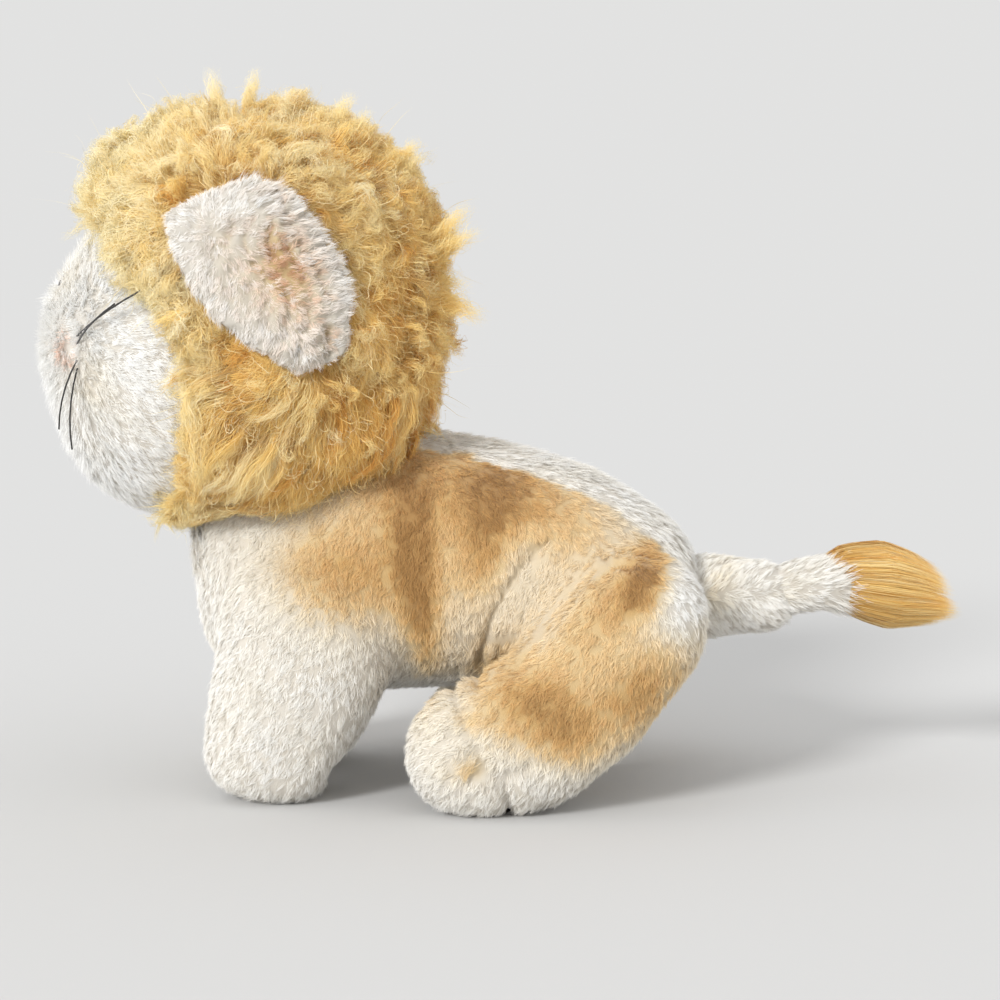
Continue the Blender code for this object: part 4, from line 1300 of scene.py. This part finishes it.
def make_undercoat(mane, random):
    """Dense soft pile under the locks, pressed short and flat where an ear lies over it."""
    places, normals = mane.open_roots(UNDERCOAT.spacing)
    under = mane.sheltered(places, normals)
    flows = mane_way(places, normals)
    lumps = mane_bulge(places, random)
    owner = np.repeat(np.arange(len(places)), UNDERCOAT.strands)
    count, rings = len(owner), len(UNDERCOAT_LIGHT_SHARES)
    side = unit(np.cross(normals, flows))
    offset = [random.normal(0, UNDERCOAT_ROOT_SPREAD, (count, 1)) for _ in range(2)]
    roots = places[owner] + (flows[owner] * offset[0] + side[owner] * offset[1])
    flow = unit(flows[owner] + side[owner] * random.normal(0, UNDERCOAT.stray_share, (count, 1)))
    length_share = np.where(under, 0.35, 1.0) * (0.75 + 0.5 * lumps)
    lengths = UNDERCOAT.length * length_share[owner] * uneven(0.25, count, random, 0.4, 1.6)
    rise_share = np.where(under, 0.3, 0.6) + 0.8 * lumps * ~under
    rises = np.radians(UNDERCOAT.rise * rise_share[owner] * uneven(0.40, count, random, 0.1, 2.2))
    paths = strand_paths(roots, normals[owner], flow, lengths, rises, 0.7, rings)
    bend = random.normal(0, UNDERCOAT_CURL, (count, 1, 1)) * (np.linspace(0, 1, rings) ** 2)[None, :, None]
    paths = paths + np.cross(normals[owner], flow)[:, None] * bend * length_share[owner][:, None, None]
    facings = ragged(normals[owner], 0.45, random)
    widths = UNDERCOAT.width * uneven(0.2, count, random)
    hues = mane_hue(roots, random) + 0.04 + random.normal(0, 0.05, count)
    # Painted shade: extra ochre in the undercoat under the combed locks
    hues += 0.12 * smoothstep(*UNDERCOAT_SHADED_BAND, roots[:, 2])
    lights = np.array(UNDERCOAT_LIGHT_SHARES) + random.normal(0, 0.06, (count, 1)) + paler(roots)[:, None]
    strands = Strands(paths, facings, widths, hues, lights)
    add_mane("mane_undercoat", chosen(strands, ~under[owner]), mane.ears)
    add_mane("mane_nap", chosen(strands, under[owner]), ())


def make_locks(name, kind, is_combed, mane, random):
    places, normals = mane.open_roots(kind.spacing)
    height = places[:, 2] + random.normal(0, COMBED_EDGE_SPREAD, len(places))
    kept = ~mane.sheltered(places, normals) & ((height < COMBED_HEIGHT) == is_combed)
    places, normals = places[kept], normals[kept]
    count, growth = len(places), kind.growth
    bulge = mane_bulge(places, random)
    lengths = random.uniform(kind.shortest, kind.longest, count) * (0.8 + 0.3 * bulge)
    chin = smoothstep(*CHIN_FACING_BAND, -normals[:, 2] - 0.6 * normals[:, 0])
    chin *= smoothstep(*CHIN_BACK_BAND, places[:, 0])
    lengths *= 1 - 0.2 * chin * smoothstep(*CHIN_SHORT_BAND, places[:, 2])
    heights = LOCK_LOWEST + LOCK_HIGHEST * bulge * random.uniform(0.2, 1.3, count)
    turns = waves(count, growth.rings, kind.wave, random)
    if kind.turn:
        turns += random.choice((-1, 1), (count, 1)) * random.uniform(0, kind.turn, (count, 1))
    guides = grown(mane, places, normals, lengths, heights, turns, growth)
    radius = kind.radius * random.uniform(0.7, 1.3, count)
    curl = kind.curl * random.uniform(0.6, 1.5, count)
    paths, owner = lock_strands(guides, normals, kind.strands, radius, kind.pull_share, curl, random)
    total = len(paths)
    # Random tone from lock to lock, plus painted shade as ochre where the mane is hollow
    tone = random.normal(0, 0.15, count) - 0.30 * (bulge - 0.5)
    hues = mane_hue(places, random)[owner] + tone[owner] + random.normal(0, growth.hue, total)
    # Painted shade along each strand, darker at the roots, with random tone
    lights = np.linspace(growth.root_light, 1.0, growth.rings) ** 0.8
    lights = lights + random.normal(0, growth.light, (total, 1))
    lights += random.normal(0, 0.17, (count, 1))[owner] + paler(places)[owner][:, None]
    facings = ragged(normals[owner], growth.facing, random)
    widths = STRAND_WIDTH * uneven(growth.width, total, random, 0.5, 1.7)
    add_mane(name, Strands(paths, facings, widths, hues, lights), mane.ears)


def loose_looks(paths, facings, hues, growth, random):
    """The looks of strands that stand free of the locks."""
    count = len(paths)
    lights = np.linspace(growth.root_light, 1.0, growth.rings) + random.normal(0, growth.light, (count, 1))
    facings = ragged(facings, growth.facing, random) if growth.width else facings
    widths = STRAND_WIDTH * uneven(growth.width, count, random)
    return Strands(paths, facings, widths, hues, lights)


def make_standing_tufts(mane, random):
    """Short curling tufts that stand out of the mane and roughen its outline."""
    growth = TUFT_GROWTH
    places, normals = mane.open_roots(STANDING_SPACING)
    kept = ~mane.sheltered(places, normals) & (normals[:, 2] > -0.4)
    places, normals = places[kept], normals[kept]
    count = len(places)
    lengths = random.uniform(*STANDING_LENGTHS, count)
    heights = random.uniform(*STANDING_HEIGHTS, count)
    turns = curled(0.30, count, growth.rings, 0.15, random)
    guides = grown(mane, places, normals, lengths, heights, turns, growth)
    radius = random.uniform(*STANDING_RADII, count)
    paths, owner = lock_strands(
        guides, normals, STANDING_STRANDS, radius, STANDING_PULL_SHARE, STANDING_CURL, random
    )
    hues = mane_hue(places, random) - 0.10 + random.normal(0, 0.06, count)
    hues = hues[owner] + random.normal(0, growth.hue, len(owner))
    add_mane("mane_tufts", loose_looks(paths, normals[owner], hues, growth, random), mane.ears)


def make_strays(mane, random):
    """Single curled strands that stand over the locks."""
    growth = STRAY_GROWTH
    places, normals = mane.open_roots(STRAY_SPACING)
    kept = ~mane.sheltered(places, normals)
    places, normals = places[kept], normals[kept]
    picked = random.permutation(len(places))[: int(STRAY_COUNT * QUICK_SHARE)]
    places, normals = places[picked], normals[picked]
    count = len(places)
    lengths = random.uniform(*STRAY_LENGTHS, count)
    heights = random.uniform(*STRAY_HEIGHTS, count)
    turns = curled(0.50, count, growth.rings, 0.25, random)
    paths = grown(mane, places, normals, lengths, heights, turns, growth)
    hues = mane_hue(places, random) - 0.25 + random.normal(0, growth.hue, count)
    add_mane("mane_strays", loose_looks(paths, normals, hues, growth, random), mane.ears)


def make_spikes(mane, random):
    """Frayed tufts that stand out of the mane's outline."""
    growth = SPIKE_GROWTH
    along = np.linspace(0, 1, growth.rings)[:, None]
    base_light = np.linspace(growth.root_light, 1.0, growth.rings)
    for number, (root, tip, half_width, strands) in enumerate(MANE_SPIKES):
        root, tip = np.array(root, float) * MILLIMETRE, np.array(tip, float) * MILLIMETRE
        base, normal = nearest_rows(mane.skin, root[None])
        run = tip - base[0]
        bow = np.cross(run, (0, 1, 0)) * random.uniform(-0.15, 0.15)
        guide = base[0] + run * along + bow * np.sin(along * math.pi)
        paths, _ = lock_strands(
            guide[None], normal, strands, half_width * MILLIMETRE, SPIKE_PULL_SHARE, SPIKE_CURL, random
        )
        count = len(paths)
        cut_share = 1 - SPIKE_FRAY_SHARE * random.random((count, 1, 1)) ** 2
        paths = paths[:, :1] + (paths - paths[:, :1]) * cut_share
        hues = mane_hue(paths[:, 0], random) - 0.15 + random.normal(0, growth.hue, count)
        lights = base_light + random.normal(0, growth.light, (count, 1))
        widths = np.full(count, STRAND_WIDTH)
        facings = ragged(np.ones((count, 3)) * (0.0, np.sign(root[1]), 0.2), growth.facing, random)
        add_mane(f"mane_spike_{number + 1}", Strands(paths, facings, widths, hues, lights), mane.ears)


def make_mane(skin, face_skin, body_skin, ears):
    random = np.random.default_rng(14)

    def open_roots(spacing):
        places, normals = scattered(skin, spacing, random)
        kept = depth_inside(face_skin, places) < 0.0
        kept &= depth_inside(body_skin, places) < -ROOTS_OVER_BODY
        return places[kept], normals[kept]

    def sheltered(places, normals):
        """Whether a place lies close under an ear."""
        under = np.zeros(len(places), bool)
        for ear in ears:
            under |= depth_inside(ear, places + normals * EAR_SHADE_HEIGHT) > -EAR_SHADE_REACH
        return under

    mane = Mane(skin, ears, open_roots, sheltered)
    make_undercoat(mane, random)
    make_locks("mane_combed", COMBED_LOCKS, True, mane, random)
    make_locks("mane_curls", CURLY_LOCKS, False, mane, random)
    make_standing_tufts(mane, random)
    make_strays(mane, random)
    make_spikes(mane, random)


# Ears

EAR_ROOT = np.array((-0.0570, 0.0, 0.1650))
EAR_AXIS = unit(np.array((-0.0565, 0.0, 0.0655)))
EAR_ASIDE = np.array((EAR_AXIS[2], 0.0, -EAR_AXIS[0]))
EAR_LENGTH = 0.0865
EAR_HALF_WIDTH = 0.0285
EAR_RIM_SHARE = 0.62
# Painted shade in the creases: how much darker the ear gets with each metre of a crease's depth
EAR_CREASE_SHADE = 75.0
# Ridges along the back rim, a dish in the middle and lumps
EAR_RIDGE_HEIGHT = 0.0009
EAR_RIDGE_SPACING = 0.0044
EAR_DISH_DEPTH = 0.0022
EAR_LUMP_HEIGHT = 0.0011
EAR_LUMP_LENGTH = 0.0065
EAR_MOTTLE_LENGTHS = (0.004, 0.009)
# Tan on the ear: x and z, half length, half width, turn, strength
EAR_SPRAY = (
    (-0.0775, 0.2050, 0.013, 0.009, 105.0, 0.26),
    (-0.0790, 0.2080, 0.008, 0.0035, 95.0, 0.28),
    (-0.0720, 0.2030, 0.008, 0.0035, 120.0, 0.20),
    (-0.0700, 0.1930, 0.012, 0.008, 125.0, 0.20),
    (-0.0900, 0.1980, 0.012, 0.008, 130.0, 0.14),
    (-0.1000, 0.2120, 0.008, 0.005, 120.0, 0.10),
    (-0.0700, 0.1800, 0.014, 0.009, 130.0, 0.12),
)
# The ear's outline seen from its side, as x and z in millimetres
EAR_OUTLINE = (
    (-119.5, 222.5),
    (-110.5, 227.5),
    (-100, 232),
    (-88, 236.0),
    (-77, 233.0),
    (-68, 222),
    (-60.5, 211),
    (-52.5, 195.0),
    (-52.5, 179.0),
    (-54.5, 171.5),
    (-62, 168.5),
    (-71, 165.0),
    (-82, 171.5),
    (-94, 180),
    (-104.5, 189.5),
    (-112.5, 200.5),
    (-117.5, 211.5),
)
EAR_MIDDLE = np.array((-0.0860, 0.2000))
EAR_RIM_BINS = 48


def ear_places(points):
    """The share along each ear from base to tip, and the share across, positive towards the lion's back."""
    away = points - EAR_ROOT
    return away @ EAR_AXIS / EAR_LENGTH, away @ EAR_ASIDE / EAR_HALF_WIDTH


def ear_flow(points, normals):
    """The ear's pile runs from its middle line out over the rim, and down to its base."""
    along, across = ear_places(points)
    sideways = np.clip(across / 0.5, -1, 1)[:, None] * EAR_ASIDE
    lengthwise = (smoothstep(0.6, 1.0, along) - 0.45)[:, None] * EAR_AXIS
    return along_surface(sideways + lengthwise * 1.2, normals)


def ear_tan_and_crease_shade(points, creases, outer):
    """Tan on the ear's outer side alone, with painted shade in its creases."""
    return (sprayed(points, EAR_SPRAY) + EAR_CREASE_SHADE * creases) * outer + BASE_HUE_SHARE * (1 - outer)


def shaped_ear(points):
    """The ear's points moved in its plane so that its rim follows the outline."""
    flat = points[:, (0, 2)] - EAR_MIDDLE
    angle = np.arctan2(flat[:, 1], flat[:, 0])
    reach = np.linalg.norm(flat, axis=1)
    turn = ((angle + math.pi) / math.tau * EAR_RIM_BINS).astype(int) % EAR_RIM_BINS
    rim = np.zeros(EAR_RIM_BINS)
    np.maximum.at(rim, turn, reach)
    middles = (np.arange(EAR_RIM_BINS) + 0.5) / EAR_RIM_BINS * math.tau - math.pi
    own_rim = np.interp(angle, middles, rim, period=math.tau)
    edge = np.array(EAR_OUTLINE) * MILLIMETRE - EAR_MIDDLE
    edge_angles = np.arctan2(edge[:, 1], edge[:, 0])
    wanted = np.interp(angle, edge_angles, np.linalg.norm(edge, axis=1), period=math.tau)
    scale = 1 + (wanted / own_rim - 1) * smoothstep(0.2, 1.0, reach / own_rim)
    moved = points.copy()
    moved[:, (0, 2)] = EAR_MIDDLE + flat * scale[:, None]
    return moved


def make_ear(side):
    sign = SIDES[side]
    random = np.random.default_rng(15)
    nodes = ["ear_front_" + side, "ear_back_" + side]
    thing = make_skin("ear_cover_" + side, nodes, EAR_SURFACE)
    apply_modifier(thing, "SUBSURF", levels=1, render_levels=1)
    mesh = thing.data
    mesh.shade_smooth()
    set_points(mesh, shaped_ear(points_of(mesh)))
    points, normals = points_of(mesh), normals_of(mesh)
    outer = smoothstep(0.2, 0.7, sign * normals[:, 1])
    along, across = ear_places(points)
    depth = fold_depth(points, EAR_FOLDS)
    ridges = EAR_RIDGE_HEIGHT * np.sin((along + 0.12 * across) * EAR_LENGTH * math.tau / EAR_RIDGE_SPACING)
    ridges = ridges * smoothstep(EAR_RIM_SHARE - 0.05, EAR_RIM_SHARE + 0.1, across)
    ridges = ridges * smoothstep(0.25, 0.4, along)
    dish = EAR_DISH_DEPTH * np.exp(-((across / 0.45) ** 2) - ((along - 0.5) / 0.3) ** 2)
    lumps = EAR_LUMP_HEIGHT * mottled(points, EAR_LUMP_LENGTH, random) * bell(across / 0.6)
    points = points + normals * (outer * (ridges + lumps - depth - dish))[:, None]
    set_points(mesh, points)
    body = side + "_ear"
    skin = finished_skin(thing, nodes, ear_tan_and_crease_shade(points, depth, outer), BACKING_LIGHT_SHARE, CREAM, body)
    places, normals = scattered(skin, EAR_PILE.spacing, random)
    across = ear_places(places)[1]
    outer = smoothstep(0.0, 0.5, sign * normals[:, 1])
    rim = smoothstep(EAR_RIM_SHARE - 0.10, EAR_RIM_SHARE + 0.05, across) + smoothstep(-0.55, -0.8, across)
    hues = ear_tan_and_crease_shade(places, fold_depth(places, EAR_FOLDS), outer)
    fine, broad = (mottled(places, length, random) for length in EAR_MOTTLE_LENGTHS)
    hues = hues * (1 + 0.45 * fine) + 0.04 * broad
    length_share = (0.74 + 0.62 * rim) * np.where(outer > 0.1, 1.0, 0.7)
    flows = ear_flow(places, normals)
    add_short_pile(
        "ear_pile_" + side, places, normals, flows, hues, EAR_PILE, body, random, EAR_STRANDS, length_share
    )
    return skin


# Tail

TAIL_NODES = ["tail_root", "tail_root_stuffing", "tail_end", "tail_end_stuffing"]
TAIL_SEAM_HEIGHT = 0.0760
TAIL_SEAM_BAND = 0.004
TAIL_BEND_REACH = 0.010
# Along X the pile's ways turn from the root's to the end's
TAIL_ROOT_BAND = (0.125, 0.090)
# Rows of tufts on the tail: their spacing and how strongly they gather
TAIL_ROW_SPACING = 0.0023
TAIL_GATHER_SHARE = 0.80
TAIL_MOTTLE_LENGTH = 0.005
TAIL_SPRAY = (
    (0.0880, 0.0780, 0.010, 0.006, 60.0, 0.16),
    (0.1180, 0.0770, 0.006, 0.004, 20.0, 0.06),
)
# The same fine shaping as the body's, for the tail
TAIL_SHAPING = (
    (103, 66, 10, 3.0),
    (112, 68, 9, 4.5),
    (114, 88, 8, 0.8),
)
# The tuft's middle line and half height from its root to its cut ends, in millimetres
TUFT_STEPS = (0.0, 0.1, 0.25, 0.47, 0.7, 1.0)
TUFT_HEIGHTS = (79.5, 79.6, 79.0, 78.0, 76.3, 72.5)
TUFT_HALF_HEIGHTS = (11.0, 14.2, 16.3, 18.2, 15.8, 11.5)
TUFT_HALF_WIDTH_SHARE = 0.85
TUFT_CORE_SHARES = (0.62, 0.80, 0.80)
TUFT_ROOT = 0.1385
TUFT_END = 0.1835
TUFT_STRANDS = 19000
TUFT_LOCKS = 380
# How its cut ends lie farther out below the middle and farther in above and at the very bottom
TUFT_LOW_REACH = 0.0040
TUFT_HIGH_CUT = 0.0035
TUFT_BOTTOM_CUT = 0.006
TUFT_SLANT = 0.006
TUFT_RAGGED_ENDS = (-0.0010, 0.0014)
# Where the tail's pile grows longer to cover the tuft's seam
TAIL_END_BAND = (0.1285, 0.1375)


def tail_root_share(points):
    return smoothstep(*TAIL_ROOT_BAND, points[:, 0])


def tail_flow(points, normals):
    """The tail's pile runs towards the tuft and away from a middle line on each side."""
    height = np.clip((points[:, 2] - TAIL_SEAM_HEIGHT) / TAIL_SEAM_BAND, -1, 1)
    spread = height * (0.25 + 1.1 * tail_root_share(points))
    return along_surface(np.stack((np.ones(len(points)), np.zeros(len(points)), spread), 1), normals)


def gathered(skin, places):
    """Places drawn onto rows that run along the flow, so that the pile stands in ridges."""
    above = np.where(places[:, 2] > TAIL_SEAM_HEIGHT, 1.0, -1.0)
    slope = np.radians(20 + 35 * tail_root_share(places)) * above
    across = np.stack((-np.sin(slope), np.zeros(len(places)), np.cos(slope)), 1)
    spot = dots(places, across)
    row = (np.round(spot / TAIL_ROW_SPACING) * TAIL_ROW_SPACING - spot) * TAIL_GATHER_SHARE
    return nearest_rows(skin, places + across * row)


def bend_with_tail(thing):
    """Sets a piece's place into its mesh; the ends of a bend about the tail's kink are worked out but not
    used.
    """
    x = (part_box("tail_root")[1][0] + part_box("tail_end")[0][0]) / 2
    start, end = (x - TAIL_BEND_REACH, 0.0, TAIL_SEAM_HEIGHT), (x + TAIL_BEND_REACH, 0.0, TAIL_SEAM_HEIGHT)
    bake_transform(thing)
    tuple(start)
    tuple(end)


def make_tail():
    random = np.random.default_rng(18)
    thing = make_skin("tail_cover", TAIL_NODES, TAIL_SURFACE)
    mesh = thing.data
    set_points(mesh, reshaped(points_of(mesh), normals_of(mesh), TAIL_SHAPING))
    hues = sprayed(points_of(mesh), TAIL_SPRAY)
    skin = finished_skin(thing, TAIL_NODES, hues, BACKING_LIGHT_SHARE, CREAM, bend_with_tail)
    places, _ = scattered(skin, TAIL_PILE.spacing, random)
    places, normals = gathered(skin, places)
    hues = sprayed(places, TAIL_SPRAY) * (1 + 0.3 * mottled(places, TAIL_MOTTLE_LENGTH, random))
    end_share = smoothstep(*TAIL_END_BAND, places[:, 0])
    add_short_pile(
        "tail_pile",
        places,
        normals,
        tail_flow(places, normals),
        hues,
        TAIL_PILE,
        bend_with_tail,
        random,
        length_share=1 + 0.75 * end_share,
        rise_share=1 + 0.7 * end_share,
    )


def tuft_paths(count, rings, random):
    """Combed strands that fan out from the tail's end, in locks that end along a slanted edge."""
    lock_turn = random.random(TUFT_LOCKS) * math.tau
    lock = random.integers(0, TUFT_LOCKS, count)
    stray = random.normal(0, 0.07, (count, 1))
    start = random.uniform(0.0, 0.22, (count, 1))
    share = np.clip(start + random.uniform(0.6, 0.8, (count, 1)) * np.linspace(0, 1, rings), 0, 1)
    turn = lock_turn[lock][:, None] + stray * (1.6 - 1.2 * share)
    depth = np.sqrt(random.uniform(0.0, 1.0, (count, 1)) ** 0.6)
    depth = depth * (1 - 0.10 * (np.abs(stray) / 0.09) * share)
    up, aside = np.sin(turn) * depth, np.cos(turn) * depth
    half = np.interp(share, TUFT_STEPS, TUFT_HALF_HEIGHTS) * MILLIMETRE
    middle = np.interp(share, TUFT_STEPS, TUFT_HEIGHTS) * MILLIMETRE
    raised = np.maximum(up, 0)
    reach = TUFT_END - TUFT_ROOT + TUFT_LOW_REACH * bell((up + 0.48) / 0.34) - TUFT_HIGH_CUT * raised**2
    reach = reach - TUFT_BOTTOM_CUT * np.maximum(-up - 0.6, 0) / 0.4
    reach = reach + random.uniform(*TUFT_RAGGED_ENDS, (TUFT_LOCKS, 1))[lock]
    x = TUFT_ROOT + reach * share - TUFT_SLANT * raised * (1 - share)
    paths = np.stack((x, aside * half * TUFT_HALF_WIDTH_SHARE, middle + up * half), 2)
    return paths, lock, depth[:, 0], turn[:, 0]


def make_tuft():
    random = np.random.default_rng(17)
    thing = make_skin("tuft_core", ["tail_tuft"], TUFT_SURFACE)
    mesh = thing.data
    root = np.array((TUFT_ROOT, 0.0, TUFT_HEIGHTS[0] * MILLIMETRE))
    set_points(mesh, root + (points_of(mesh) - root) * TUFT_CORE_SHARES)
    # Painted shade on the core, which lies deep inside the tuft: dark ochre
    finished_skin(thing, ["tail_tuft"], np.full(len(mesh.vertices), 0.75), 0.4, GOLD, "tail_end")
    rings = 8
    count = int(TUFT_STRANDS * QUICK_SHARE)
    paths, lock, depth, turn = tuft_paths(count, rings, random)
    tone = random.normal(0, 0.16, TUFT_LOCKS)
    # Painted shade: strands nearer the core are more ochre, and all are darker at the roots
    hues = 0.50 + tone[lock] + random.normal(0, 0.07, count) + 0.6 * (0.95 - depth)
    lights = np.linspace(0.20, 0.75, rings) + random.normal(0, 0.07, (count, 1))
    lights += random.normal(0, 0.26, (TUFT_LOCKS, 1))[lock]
    facings = ragged(np.stack((np.zeros(count), np.cos(turn), np.sin(turn)), 1), 0.35, random)
    widths = STRAND_WIDTH * uneven(0.2, count, random)
    strands = Strands(paths, facings, widths, hues, lights)
    add_ribbons("tuft_strands", strands, GOLD.strands, "tail_end", GOLD.slot)


# Rigid pieces


def eye_material():
    material, nodes, links, shader = new_shader("eye_brown", 0.12, specular=0.5, coat=1.0)
    noise = add_node(nodes, "TexNoise", Scale=EYE_MOTTLE_SCALE)
    ramp = add_ramp(nodes, EYE_BROWNS)
    links.new(noise.outputs["Fac"], ramp.inputs["Fac"])
    links.new(ramp.outputs["Color"], shader.inputs["Base Color"])
    return material


def felt_material(name, shades, scale=FELT_SCALE):
    material, nodes, links, shader = new_shader(name, 0.9, sheen=0.4)
    noise = add_noise_bump(nodes, links, shader, scale, 6.0, 0.5, FELT_BUMP_DEPTH)
    ramp = add_ramp(nodes, shades)
    links.new(noise.outputs["Fac"], ramp.inputs["Fac"])
    links.new(ramp.outputs["Color"], shader.inputs["Base Color"])
    return material


def dress(nodes, material):
    """Gives CAD nodes a better material."""
    for node in nodes:
        data = NODES[node].data
        if not data.materials:
            data.materials.append(material)
        for slot in NODES[node].material_slots:
            slot.material = material


def dress_rigid_pieces():
    dress(["eye_" + side for side in SIDES], eye_material())
    dress(["eye_washer_" + side for side in SIDES], felt_material("washer_white", WASHER_WHITES))
    dress(["nose"], felt_material("nose_pink", NOSE_PINKS))
    rows = [f"{row}_{length}" for row in ("upper", "lower") for length in ("long", "short")]
    whiskers = [f"whisker_{row}_{side}" for row in rows for side in SIDES]
    dress(whiskers, felt_material("black_thread", THREAD_BLACKS, THREAD_SCALE))


# Scene


def make_floor():
    mesh = bmesh.new()
    bmesh.ops.create_grid(mesh, x_segments=1, y_segments=1, size=FLOOR_SIZE / 2)
    data = bpy.data.meshes.new("floor")
    mesh.to_mesh(data)
    mesh.free()
    material, _, _, shader = new_shader("floor", 1.0, specular=0.0)
    shader.inputs["Base Color"].default_value = (*FLOOR_SHADE, 1.0)
    data.materials.append(material)
    add_to_scene("floor", data)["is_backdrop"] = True


def light_scene():
    """A broad soft lamp from the camera's upper left, a pale sky, and a backdrop as bright as the floor."""
    lamp = bpy.data.lights.new("key", "SUN")
    lamp.energy = SUN_STRENGTH
    lamp.angle = math.radians(SUN_WIDTH_DEGREES)
    add_to_scene("key", lamp).rotation_euler = Vector(SUN_FROM).to_track_quat("Z", "Y").to_euler()
    world = bpy.data.worlds.new("studio")
    bpy.context.scene.world = world
    world.use_nodes = True
    nodes, links = world.node_tree.nodes, world.node_tree.links
    sky = nodes["Background"]
    sky.inputs["Color"].default_value = (1.0, 1.0, 1.0, 1.0)
    sky.inputs["Strength"].default_value = SKY_STRENGTH
    floor_light = SKY_STRENGTH + SUN_STRENGTH * Vector(SUN_FROM).normalized().z / math.pi
    pale = (*(shade * floor_light for shade in FLOOR_SHADE), 1.0)
    backdrop = add_node(nodes, "Background", Color=pale, Strength=1.0)
    rays = add_node(nodes, "LightPath")
    seen = add_node(nodes, "Math")
    seen.operation = "MAXIMUM"
    mix = add_node(nodes, "MixShader")
    links.new(rays.outputs["Is Camera Ray"], seen.inputs[0])
    links.new(rays.outputs["Is Glossy Ray"], seen.inputs[1])
    links.new(seen.outputs["Value"], mix.inputs["Fac"])
    links.new(sky.outputs["Background"], mix.inputs[1])
    links.new(backdrop.outputs["Background"], mix.inputs[2])
    links.new(mix.outputs["Shader"], nodes["World Output"].inputs["Surface"])


def add_camera():
    rise = math.radians(CAMERA_RISE_DEGREES)
    target = Vector(CAMERA_TARGET)
    camera = bpy.data.cameras.new("camera")
    camera.lens = CAMERA_LENS_MM
    camera.sensor_width = CAMERA_SENSOR_MM
    holder = add_to_scene("camera", camera)
    holder.location = target + CAMERA_DISTANCE * Vector((0, -math.cos(rise), math.sin(rise)))
    holder.rotation_euler = (target - holder.location).to_track_quat("-Z", "Y").to_euler()
    bpy.context.scene.camera = holder


def main():
    mane_skin = make_mane_skin()
    ears = [make_ear(side) for side in SIDES]
    body_skin = make_body(mane_skin)
    face_skin = make_face(mane_skin)
    make_mane(mane_skin, face_skin, body_skin, ears)
    make_tail()
    make_tuft()
    dress_rigid_pieces()
    make_floor()
    light_scene()
    add_camera()
    bpy.context.scene.view_settings.view_transform = "Standard"
    boxes = [[list(map(float, corner)) for corner in box] for box in (CAD_BOX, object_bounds())]


main()
